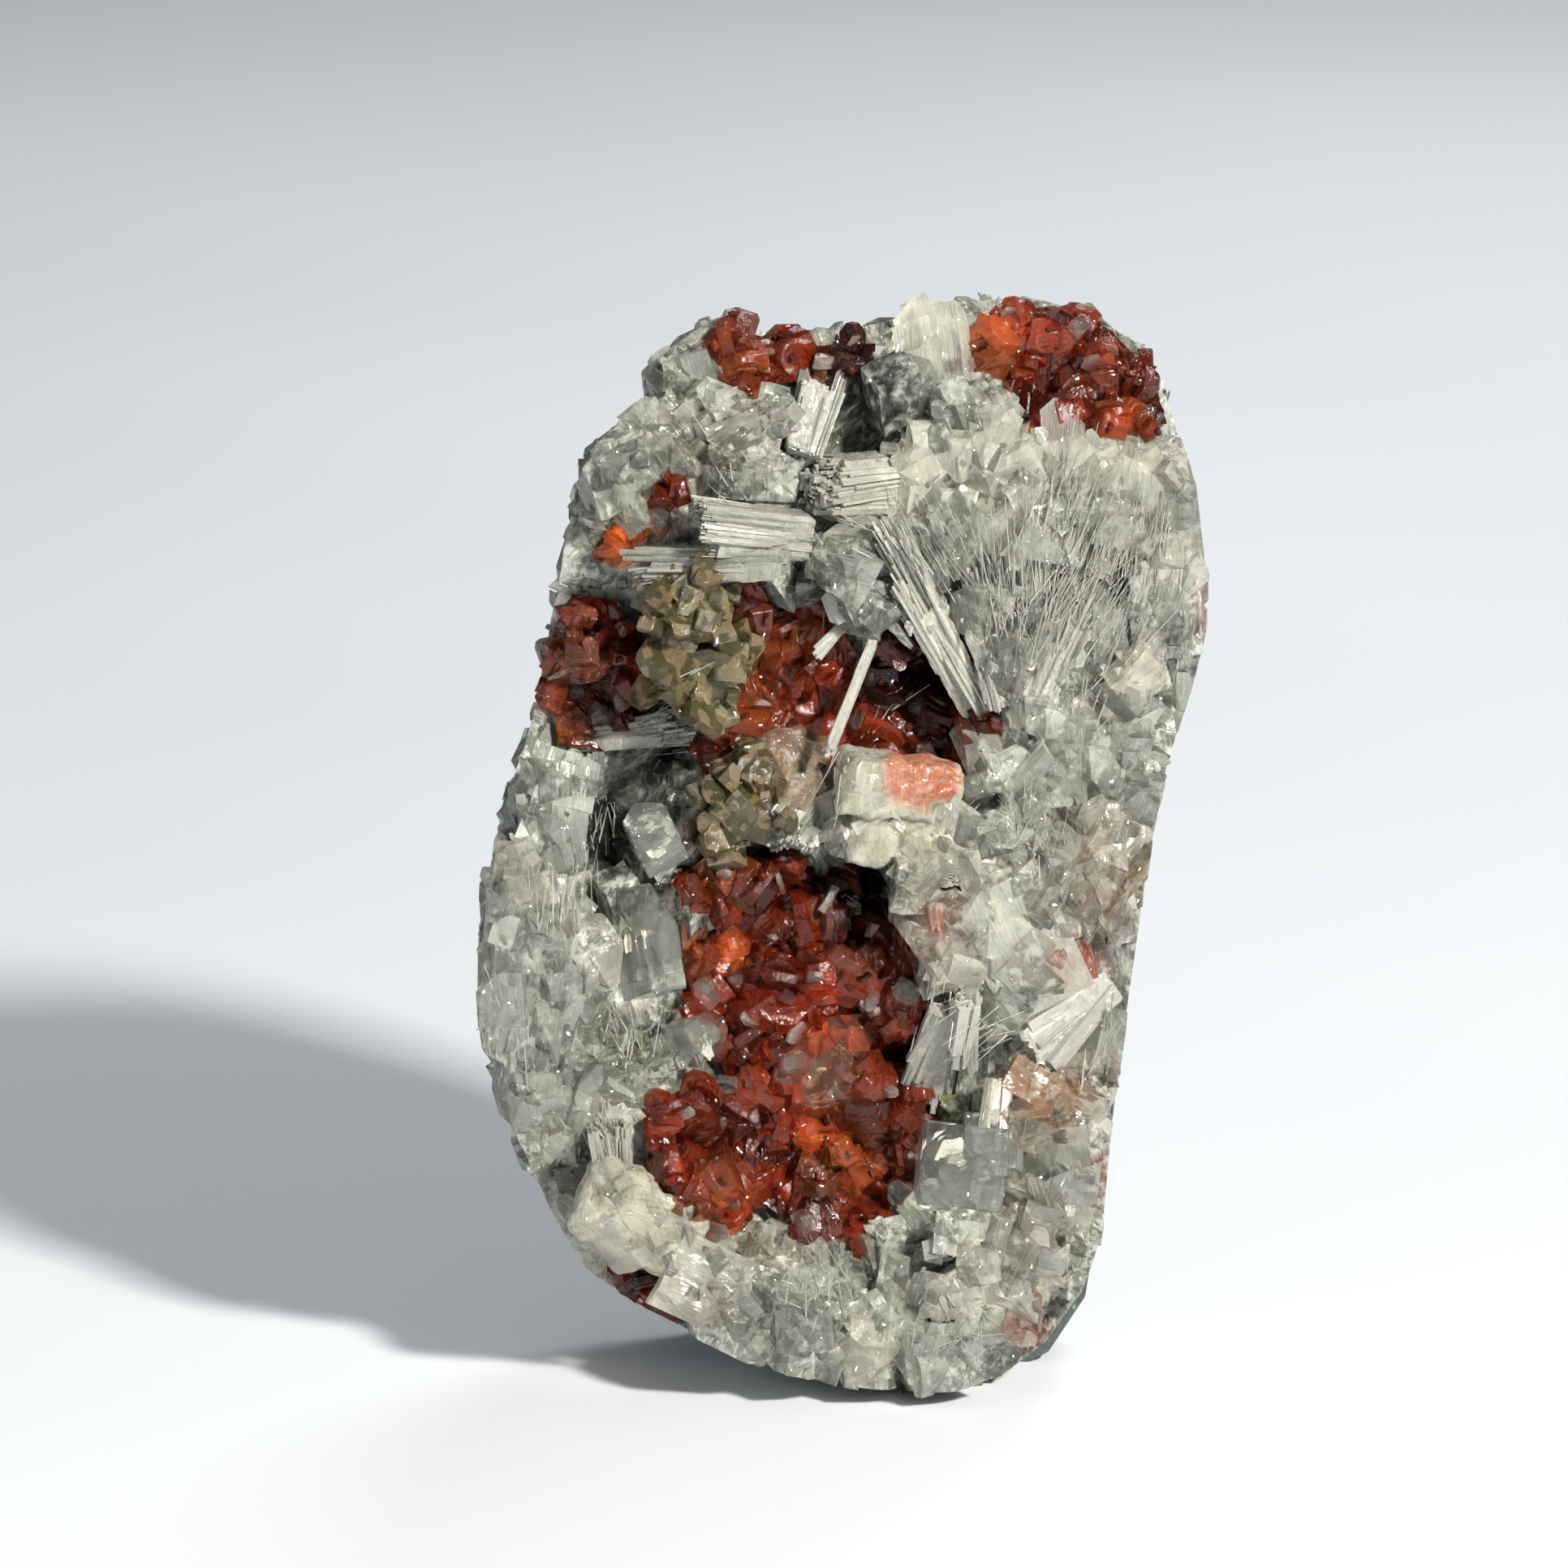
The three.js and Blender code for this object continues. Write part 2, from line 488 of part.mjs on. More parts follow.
function needleCorners({ from, to, width }, grow = 0) {
  const [start, end] = [from, to].map(([x, h, z]) => new THREE.Vector3(x, realHeight(h, z), z));
  return rodBetween(start, end, width, width, new THREE.Vector3(1, 0, 0), grow);
}

// Both ends of a bundle, lifted together until it clears the crust between them.
function bridged(from, to) {
  const ends = [seat(...from), seat(...to)];
  const low = Math.min(from[2], to[2]);
  let lift = 0;
  for (const t of [0.25, 0.5, 0.75]) {
    const p = ends[0].clone().lerp(ends[1], t);
    lift = Math.max(lift, relief(p.x, p.y) + low - p.z);
  }
  return ends.map((p) => new THREE.Vector3(p.x, p.y + lift * DROP, p.z + lift));
}

function bundleRods({ from, to, wide, deep, root, rods }, seed, grow = 0) {
  const random = seeded(seed);
  const [start, end] = bridged(from, to);
  const up = end.clone().sub(start).normalize();
  const side = new THREE.Vector3().crossVectors(up, new THREE.Vector3(0, 0, 1)).normalize();
  const out = new THREE.Vector3().crossVectors(side, up);
  return Array.from({ length: rods }, (_, i) => {
    const across = ((i + 0.5) / rods - 0.5) * wide;
    const forward = random.spread(ROD_UNEVEN.forward) * deep;
    const shorter = random.between(0, ROD_UNEVEN.shorter) * start.distanceTo(end);
    const tip = end.clone().addScaledVector(up, -shorter);
    tip.addScaledVector(side, across).addScaledVector(out, forward);
    const foot = start.clone().addScaledVector(side, across * root).addScaledVector(out, forward * root);
    return rodBetween(foot, tip, (wide / rods) * ROD_FILL, deep, side, grow);
  });
}

function heulanditeTablets(lumps, seed) {
  const random = seeded(seed);
  const tablets = [];
  for (const [x, h, proud, radius] of lumps) {
    const middle = seat(x, h, proud - radius * TABLET.sunk);
    const count = radius > PAIR_FROM ? 2 : 1;
    const turnedBy = random.between(0, 2 * Math.PI);
    for (let i = 0; i < count; i++) {
      const around = turnedBy + (2 * Math.PI * i) / count + random.spread(0.4);
      const tilt = THREE.MathUtils.degToRad(random.between(...TABLET.tilt));
      const out = new THREE.Vector3().setFromSphericalCoords(1, tilt, around);
      out.set(out.x, out.z, out.y); // the pole of those coordinates points to the viewer
      const shape = {
        width: radius * random.between(...TABLET.width),
        length: radius * random.between(...TABLET.length),
        thick: radius * random.between(...TABLET.thick),
      };
      const up = new THREE.Vector3(0, 1, 0);
      const spin = new THREE.Quaternion().setFromAxisAngle(up, random.between(0, Math.PI));
      const turn = new THREE.Quaternion().setFromUnitVectors(up, out).multiply(spin);
      const axes = new THREE.Matrix4().makeRotationFromQuaternion(turn);
      const centre = middle.clone().addScaledVector(out, radius * TABLET.out);
      tablets.push(moved(bladeCorners(shape), axes, centre));
    }
  }
  return tablets;
}

// A slab between two surfaces, on a grid that covers the whole outline.
function slab(cell, frontAt, backAt) {
  const across = Math.ceil(GRID.width / cell);
  const up = Math.ceil(GRID.height / cell);
  const positions = [];
  const faces = [];
  const index = (i, j, side) => side * (across + 1) * (up + 1) + j * (across + 1) + i;
  for (const depthAt of [frontAt, backAt]) {
    for (let j = 0; j <= up; j++) {
      for (let i = 0; i <= across; i++) {
        const [x, y] = [GRID.left + i * cell, GRID.foot + j * cell];
        positions.push(x, y, depthAt(x, y));
      }
    }
  }
  const quad = (a, b, c, d) => faces.push(a, b, c, a, c, d);
  for (let j = 0; j < up; j++) {
    for (let i = 0; i < across; i++) {
      quad(index(i, j, 0), index(i + 1, j, 0), index(i + 1, j + 1, 0), index(i, j + 1, 0));
      quad(index(i, j, 1), index(i, j + 1, 1), index(i + 1, j + 1, 1), index(i + 1, j, 1));
    }
    quad(index(0, j, 0), index(0, j + 1, 0), index(0, j + 1, 1), index(0, j, 1));
    quad(index(across, j, 1), index(across, j + 1, 1), index(across, j + 1, 0), index(across, j, 0));
  }
  for (let i = 0; i < across; i++) {
    quad(index(i, 0, 1), index(i + 1, 0, 1), index(i + 1, 0, 0), index(i, 0, 0));
    quad(index(i, up, 0), index(i + 1, up, 0), index(i + 1, up, 1), index(i, up, 1));
  }
  const geometry = new THREE.BufferGeometry();
  geometry.setAttribute("position", new THREE.Float32BufferAttribute(positions, 3));
  geometry.setIndex(faces);
  return solidOf(geometry);
}

// An outline run from back to front. It sinks towards the back, as the ground edge does, which hides
// the back from the photograph's point of view.
function extruded(points, back, front, round = 0) {
  const geometry = new THREE.ExtrudeGeometry(new THREE.Shape(points), {
    depth: front - back - 2 * round,
    bevelEnabled: round > 0,
    bevelThickness: round,
    bevelSize: round,
    bevelOffset: -round,
    bevelSegments: 2,
  });
  geometry.translate(0, 0, back + round);
  const corners = geometry.attributes.position;
  for (let i = 0; i < corners.count; i++) {
    corners.setY(i, corners.getY(i) + (corners.getZ(i) - EDGE_DEPTH) * DROP);
  }
  return solidOf(geometry);
}

// What stands out of the crust, in the order in which the pieces claim their room. bodies lists the
// corners of each convex body of a piece, and room is one convex body round all of them and the gap.
const standing = {};
for (const [name, row] of Object.entries(LONE_CRYSTALS)) {
  standing[`apophyllite_${name}`] = {
    colour: "clear",
    bodies: [tableCrystal(row, blockCorners)],
    room: hullOf(tableCrystal(row, boxCorners, GAP)),
  };
}
for (const [name, row] of Object.entries(NEEDLES)) {
  standing[`scolecite_${name}`] = {
    colour: "white",
    bodies: [needleCorners(row)],
    room: hullOf(needleCorners(row, GAP)),
  };
}
Object.entries(SCOLECITE).forEach(([name, row], i) => {
  const seed = SEEDS.scolecite + i;
  standing[`scolecite_${name}`] = {
    colour: "white",
    bodies: bundleRods(row, seed),
    room: hullOf(bundleRods(row, seed, GAP).flat()),
  };
});

// The crust's own crystals, each cut back where something stands in it.
function crustRows() {
  const random = seeded(SOWN.seed);
  const rows = [...CRUST_CRYSTALS];
  const wanted = CRUST_CRYSTALS.length + SOWN.count;
  const crowded = (x, h) => rows.some((row) => Math.hypot(row[0] - x, row[1] - h) < SOWN.apart);
  for (let attempt = 0; attempt < SOWN.tries && rows.length < wanted; attempt++) {
    const [x, h] = [random.spread(SOWN.across), random.between(SOWN.from, SOWN.to)];
    const place = seat(x, h, 0);
    const width = random.between(...SOWN.width);
    const turn = [random.between(...SOWN.lean), random.between(...SOWN.spin), random.spread(SOWN.roll)];
    const inHollow = HOLLOWS.some((hollow) => bell(x, place.y, hollow, hollow.floor) > SOWN.hollow);
    const inside = insideOutline(x, place.y) && edgeDistance(x, place.y) > SOWN.margin;
    if (inHollow || !inside || crowded(x, h)) continue;
    const proud = random.between(...SOWN.proud);
    rows.push([x, h, proud, width, width * SOWN.length, width * SOWN.thick, ...turn]);
  }
  return rows;
}

const foot = box(new THREE.Vector3(-FAR, -FAR, -FAR), new THREE.Vector3(FAR, 0, FAR));
const behindSeam = box(new THREE.Vector3(-FAR, -FAR, -FAR), new THREE.Vector3(FAR, 2 * FAR, SEAM + GAP));
const beforeSeam = box(new THREE.Vector3(-FAR, -FAR, SEAM), new THREE.Vector3(FAR, 2 * FAR, FAR));
const rows = crustRows();
const standingRooms = Object.values(standing).map((piece) => piece.room);
const crystalForm = ([, , , width]) => (width < CUT_CORNERS_FROM ? taperCorners : blockCorners);
const crystals = rows.map((row) => hullOf(tableCrystal(row, crystalForm(row))));
const crystalRooms = rows.map((row) => hullOf(tableCrystal(row, boxCorners, GAP)));
const clearOfCrust = slab(CRUST_CELL, (x, y) => relief(x, y) + SEAT_GAP, () => SEAM - FAR);

function crust() {
  const body = slab(CRUST_CELL, relief, () => SEAM - FAR);
  const cut = crystals.map((crystal) => without(crystal, standingRooms));
  const kept = cut.filter((crystal) => crystal.volume() > CRUMB);
  const grown = joined([body, ...kept]).intersect(extruded(outline, SEAM - FAR, FAR));
  return largest(grown.subtract(behindSeam).subtract(foot));
}

function basalt() {
  const random = seeded(BACK_LUMPS.seed);
  const lumps = Array.from({ length: BACK_LUMPS.count }, () => ({
    at: [random.spread(BACK_LUMPS.across), random.between(BACK_LUMPS.from, BACK_LUMPS.to)],
    half: [random.between(...BACK_LUMPS.half), random.between(...BACK_LUMPS.half)],
    by: random.between(...BACK_LUMPS.by),
  }));
  const backAt = (x, y) => {
    const raised = y - (BACK - EDGE_DEPTH) * DROP;
    const inward = insideOutline(x, raised) ? edgeDistance(x, raised) : 0;
    const depth = lumps.reduce((z, lump) => z + lump.by * bell(x, y, lump, READING_DEPTH), BACK);
    return depth + BACK_EDGE.rise * smooth(1 - inward / BACK_EDGE.width);
  };
  const body = slab(BACK_CELL, () => FAR, backAt);
  const edge = extruded(basaltOutline(), BASALT_EDGE.back, BASALT_EDGE.front, BASALT_EDGE.round);
  return largest(body.intersect(edge).subtract(beforeSeam).subtract(foot));
}

function heulandite({ bed, lumps }, seed) {
  const edge = bed.map(([x, h]) => new THREE.Vector2(x, seat(x, h, 1).y));
  const domes = lumps.map(([x, h, , radius]) => ({ middle: seat(x, h, 0), radius }));
  const bedAt = (x, y) => domes.reduce((z, { middle, radius }) => {
    const away = Math.hypot(x - middle.x, y - middle.y) / (DOME_SPREAD * radius);
    return z + DOME_RISE * radius * smooth(1 - away);
  }, relief(x, y) + BED);
  const lining = slab(CRUST_CELL, bedAt, () => SEAM - FAR).intersect(extruded(edge, SEAM - FAR, FAR));
  const tablets = heulanditeTablets(lumps, seed).map(hullOf);
  const whole = joined([lining, ...tablets]).intersect(extruded(outline, SEAM - FAR, FAR));
  return largest(without(whole.subtract(clearOfCrust), [...crystalRooms, ...standingRooms]));
}

const rooms = [];
const specimen = new THREE.Group();
specimen.name = "specimen";
specimen.rotation.x = Math.PI / 2; // the viewer's side faces -Y, and up is +Z
specimen.position.set(-FOOT.x, FOOT.depth, 0);

function addNode(name, solid, colour) {
  const mesh = new THREE.Mesh(geometryOf(solid), COLOURS[colour]);
  mesh.name = name;
  specimen.add(mesh);
}

addNode("basalt_matrix", basalt(), "basalt");
addNode("apophyllite_crust", crust(), "pale");
Object.entries(HEULANDITE).forEach(([name, cluster], i) => {
  addNode(`heulandite_${name}`, heulandite(cluster, SEEDS.heulandite + i), "red");
});
for (const [name, piece] of Object.entries(standing)) {
  const whole = joined(piece.bodies.map(hullOf)).subtract(clearOfCrust).subtract(foot);
  addNode(name, largest(without(whole, rooms)), piece.colour);
  rooms.push(piece.room);
}

export default specimen;
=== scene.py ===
"""Surfaces, crystals and fibres of a hand-sized mineral specimen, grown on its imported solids.

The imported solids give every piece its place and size. This script covers them with the small
crystals that the solids leave out, gives each mineral its finish, and sets floor, light and camera.
Lengths are millimetres until a mesh is made. A place on the photograph is given by how far across
it lies, to the right, and by its height up the picture, both in millimetres.
"""
import math

import bmesh
import bpy
import numpy as np
from mathutils import Matrix, Vector
from mathutils.bvhtree import BVHTree
from mathutils.kdtree import KDTree


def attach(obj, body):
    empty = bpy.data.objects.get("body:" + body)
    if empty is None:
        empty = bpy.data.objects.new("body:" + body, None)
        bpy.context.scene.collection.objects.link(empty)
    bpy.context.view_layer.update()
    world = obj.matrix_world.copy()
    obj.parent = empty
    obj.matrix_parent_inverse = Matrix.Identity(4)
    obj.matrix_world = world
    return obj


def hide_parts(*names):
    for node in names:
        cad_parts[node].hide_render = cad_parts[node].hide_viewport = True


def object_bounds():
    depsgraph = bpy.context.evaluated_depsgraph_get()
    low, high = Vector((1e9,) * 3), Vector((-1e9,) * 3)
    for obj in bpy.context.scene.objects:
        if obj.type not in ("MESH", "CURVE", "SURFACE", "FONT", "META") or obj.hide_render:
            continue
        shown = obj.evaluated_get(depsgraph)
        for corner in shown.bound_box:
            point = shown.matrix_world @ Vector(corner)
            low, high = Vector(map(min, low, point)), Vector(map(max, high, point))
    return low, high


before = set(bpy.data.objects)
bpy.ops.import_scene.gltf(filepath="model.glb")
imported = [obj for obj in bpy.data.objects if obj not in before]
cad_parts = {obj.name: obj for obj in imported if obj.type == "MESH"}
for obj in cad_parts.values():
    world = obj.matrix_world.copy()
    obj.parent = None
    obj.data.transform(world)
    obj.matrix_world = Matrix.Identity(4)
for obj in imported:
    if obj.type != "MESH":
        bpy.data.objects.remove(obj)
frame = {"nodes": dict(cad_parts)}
cad_low, cad_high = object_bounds()

MM = 0.001

# How the photograph sees the specimen
LOOKS_DOWN = math.radians(13)
ACROSS = np.array([1.0, 0.0, 0.0])
SIGHT = np.array([0.0, math.cos(LOOKS_DOWN), -math.sin(LOOKS_DOWN)])
PICTURE_UP = np.array([0.0, math.sin(LOOKS_DOWN), math.cos(LOOKS_DOWN)])
PICTURE_ORIGIN = np.array([-3.0, -21.0, 0.0])  # where across and height are both nought
PICTURE_MIDDLE = np.array([-10.0, -21.0, 78.3])
PICTURE_WIDTH = 193.2
LENS = 250.0
SENSOR = 36.0
FAR_OFF = 200  # the camera's rays start this far in front of the specimen

# Lights, in metres: place, width, power and colour. All of them point at the specimen's middle.
LIGHTS = {
    "key": ((0.60, -0.80, 0.70), 0.12, 22.0, (1.0, 0.97, 0.93)),
    "fill": ((-1.0, -0.8, 0.5), 0.6, 2.5, (0.92, 0.96, 1.0)),
    "back": ((0.3, 0.9, 0.8), 0.5, 5.0, (1.0, 1.0, 1.0)),
}
LIT_MIDDLE = Vector((-0.002, -0.015, 0.07))
SKY_STRENGTH = 0.26
FLOOR_RADIUS = 14  # in metres

# Edge of the grown face: across and height, from its top left, clockwise
EDGE = np.array([
    (-17, 132.8), (-13, 134), (-8.5, 131.5), (-2, 132.2), (4.5, 132.2), (10.5, 136.2), (14.4, 136),
    (21, 136), (30, 134.6), (36.6, 130.2), (40.4, 122.7), (43.2, 112.7), (45, 100.2), (44.6, 92.5),
    (41.6, 82.7), (39.8, 76.7), (38.2, 68.7), (36.4, 54.7), (34.6, 40.7), (33.4, 27.7), (32.2, 18),
    (28.4, 10.2), (22.5, 3.6), (16, 0.4), (8, 0.2), (-2, 1.8), (-12, 4.4), (-20, 8.6), (-27.6, 12.6),
    (-33.5, 18.2), (-38.2, 27.7), (-41.8, 37.7), (-44.4, 47), (-45, 57), (-43.2, 67), (-41, 75.2),
    (-38, 84.7), (-36.4, 93.7), (-34.4, 102.7), (-33, 110.2), (-31, 117.2), (-25, 121.2), (-23.4, 127.7),
])
GROUND_FROM, GROUND_TO = 10, 29  # the stretches of the edge that are ground smooth
GROUND_SLACK = 0.05  # how far crystals may pass the edge where it is ground
ROUGH_SLACK = (-1.2, 1.3)  # and, from crystal to crystal, where it is broken
SEAM = -6.5  # crystals grow in front of this depth, where the crust meets the basalt

# Patches of colour on the crust: across, height, half width, half height, strength
PATCH_FADE, PATCH_EDGE = 0.9, 1.5  # how soon a patch fades, and how sharply at its edge
MILKY = [
    (-39.1, 64.4, 4.5, 2.8, 1), (-32.1, 58.9, 2.4, 2, 1), (-30.4, 54.1, 3, 2.6, 0.9),
    (38.6, 116.1, 3.4, 2.8, 1), (36.2, 90.9, 4, 3.4, 1), (32.2, 85.9, 3.4, 2.6, 0.9),
    (14.9, 13.9, 7.5, 4.5, 0.8), (2.4, 5.9, 3.2, 4, 0.9), (6.4, 73.6, 8.5, 6.5, 1),
    (-26.1, 22.7, 8.5, 6.5, 0.9), (18.1, 62.4, 3.6, 4.8, 0.8), (-32, 18, 6, 4.5, 1),
    (10.9, 132, 3.4, 4.4, 0.8), (-28, 46, 3, 3.6, 0.7), (9, 113.6, 6, 4, 0.8),
    (24.6, 14.6, 2.6, 2.6, 0.9), (-36, 32, 4, 3, 0.4), (20, 92, 4, 8, 0.6),
    (37, 105, 4, 9, 0.5), (-2, 108.6, 6, 3, 0.7), (-29, 34, 4, 4, 0.6),
    (26, 55, 6, 3, 0.5), (12, 54, 5, 4, 0.8), (-14, 101, 6, 2, 0.5),
    (24, 115, 14, 5, 0.7), (28, 104, 12, 9, 0.5), (9.4, 52.8, 3.4, 3.4, 1),
]
MOSSY = [
    (-18.1, 95.4, 5.4, 4.2, 1), (-18.6, 90, 4.6, 4, 0.9), (-12.6, 74.1, 4.8, 4.8, 1),
    (-18.6, 72.9, 3.6, 4.4, 0.7), (-24.1, 42.9, 3, 3.6, 1), (13.4, 35.9, 6, 3.4, 1),
    (23.9, 30.9, 5.6, 3.6, 0.9), (35.9, 63.9, 1.6, 1.6, 0.8), (29.6, 53.8, 2.4, 2.4, 0.6),
    (20, 34, 4, 4, 0.6), (-20.6, 45.4, 2.4, 2.4, 0.7),
]
RUSTY = [
    (26.2, 37.4, 6, 4.6, 1), (30.9, 63.9, 6, 9, 0.5), (-22.5, 108, 3.6, 2.4, 0.6),
    (11.2, 61, 3.4, 4.4, 0.5), (-15, 118, 9, 4, 0.22), (24.5, 22, 5, 5, 0.3),
    (-8, 19, 5, 3, 0.4), (-16, 12, 3, 3, 0.3), (-6, 79.6, 5.5, 1.8, 0.6),
]
# Patches of painted shade: near-black green painted into the crust's hollows and clefts, and round the clear
# crystals so that they stand out
PAINTED_SHADE_PATCHES = [
    (4.4, 122.9, 5.5, 6.5, 0.8), (6, 130.5, 2.2, 3.4, 0.8), (-22.6, 86.9, 5, 3.8, 1.2),
    (-28.6, 70.3, 4.8, 5.2, 1.3), (10.4, 43.4, 1.6, 4, 0.9), (30.2, 87.9, 1.8, 1.6, 0.8),
    (39.7, 95.1, 3.2, 3.6, 0.7), (3, 63.5, 4, 4, 1), (-20, 79, 6, 3, 0.7),
    (12, 91, 4.5, 5, 1), (29, 27.6, 4, 3, 0.6), (-12, 69, 5, 3, 0.6),
    (33, 57, 2.6, 4, 0.5), (-24.4, 69.6, 4.4, 5, 0.9), (-25, 57, 4, 7.4, 0.9),
    (-19, 45, 4.4, 4.4, 0.9), (15.5, 28.5, 5, 4.4, 0.7), (-27, 88, 3, 4, 0.8),
    (-25, 92.6, 2.6, 4.6, 0.8), (4, 10, 26, 9, 0.12), (31, 50, 8, 18, 0.12),
]
COOL = [
    (22, 103, 18, 12, 0.9), (-38, 52, 8, 22, 0.8), (-31, 77, 6, 6, 0.8),
    (6, 8, 22, 8, 0.5), (8, 104, 8, 6, 0.7),
]
BLUSH = [
    (29, 54, 4.4, 2.4, 0.9), (32, 27.4, 2.2, 3, 0.8), (23.4, 8.8, 2.2, 2, 0.9),
    (26, 7, 4, 2, 0.6), (-24, 104, 3.4, 2, 0.6), (-34.6, 92, 2.2, 5, 0.5),
    (12, 59, 2, 3.4, 0.5), (44, 100, 1.2, 5, 0.5), (-16.6, 69.4, 4, 1.8, 0.5),
    (6.4, 76.6, 3, 2.4, 0.6), (-26.4, 12.6, 3, 3, 0.8),
]
# Stretches of the crust that are ground smooth, bare of crystals
POLISHED = [(-36.2, 23, 3.4, 4.6, 1), (-32.4, 17.4, 3.8, 5, 1), (-28.6, 12.4, 2.8, 3.4, 1)]

# Where crystals lie along one another: across, height, half width, half height, direction on the
# picture in degrees (90 is up), strength
GRAINS = [
    (-38, 50, 9, 26, 84, 0.9), (-33, 77, 6, 7, 78, 0.8), (8, 100, 6, 14, 116, 0.8),
    (18, 100, 6, 16, 92, 0.9), (28, 102, 8, 16, 66, 0.9), (38, 104, 5, 14, 84, 0.7),
    (22, 112, 10, 4, 20, 0.5), (-14, 105, 12, 5, 178, 0.7), (0, 16, 8, 5, 80, 0.6),
    (-27, 23, 9, 5, 150, 0.7), (-26, 82.5, 9, 3, 5, 0.8), (30, 70, 8, 12, 95, 0.4),
    (35, 40, 3, 30, 86, 0.5), (5, 131, 4, 5, 92, 0.8),
]
GRAIN_STRAYS = 9  # degrees by which a crystal strays from the grain of its place
GROWTH_STRAYS = 50  # and a growth from upright, where there is no grain

# Patches of colour on the massive scolecite, and on the heulandite, written as the patches above
SALMON = [(9, 77.4, 4.2, 4.6, 1), (8.6, 82, 2, 3.4, 1), (12.6, 77, 2.4, 3, 1)]
ORANGE = [
    (-26.6, 107.6, 3.4, 3.8, 1), (17.8, 129.4, 3.4, 4, 1), (-14.4, 66.4, 4.6, 3, 1),
    (-19, 57.6, 2.6, 3, 0.9), (-12.4, 56.2, 2.6, 3, 0.8), (-13, 128, 3.6, 3.4, 0.6),
    (-33.4, 92, 3, 3.4, 0.5), (-35, 84, 4, 3, 0.9), (-6, 94, 3.6, 3.6, 0.7),
    (-11, 86, 4, 3.6, 0.6), (0, 30, 5.4, 4.6, 0.8), (9.4, 77.6, 5.4, 4.6, 1),
    (24, 8.6, 2.4, 2.4, 1), (-1.6, 42, 3.6, 3, 0.7), (36, 121, 3, 3, 0.5),
    (-15, 26, 4, 4, 0.5),
]
PINK = [
    (-3, 128.4, 5, 3, 0.7), (25, 131, 5, 4, 0.6), (33, 127, 4, 3.4, 0.6),
    (-31.4, 97.4, 4.4, 4.4, 1.3), (-33.4, 91, 4, 5, 1), (-12.6, 46.4, 5, 3.6, 0.8),
    (-10.4, 38.4, 4.4, 2.8, 0.7), (4.6, 37.4, 5, 4, 0.8), (-1, 23.4, 4.4, 3, 0.9),
    (-3.6, 61, 3.6, 4, 0.5), (3.4, 52, 4.4, 6, 0.6), (-23, 13, 4.6, 4.4, 0.9),
    (9, 83, 3.6, 6, 0.6), (-8, 95, 3, 4, 0.3), (30, 6, 3, 3, 0.6),
    (-12, 80, 6, 3, 0.5), (-21, 34, 4, 3.4, 0.4),
]
WINE = [
    (3, 130, 4, 4, 0.9), (10, 90, 6, 5, 1.3), (2.4, 63, 5, 4.4, 1.4),
    (3.6, 53, 4.4, 6, 0.7), (8.6, 29, 4, 5.6, 0.8), (-15, 34, 3, 3, 0.8),
    (-27, 88, 4, 5, 0.8), (12, 81, 4, 4, 0.8), (39, 122, 3, 2.6, 0.8),
    (-13, 85, 6, 3, 0.4), (-25, 15, 2.6, 3, 0.7), (-1, 88, 3, 4, 0.4),
]

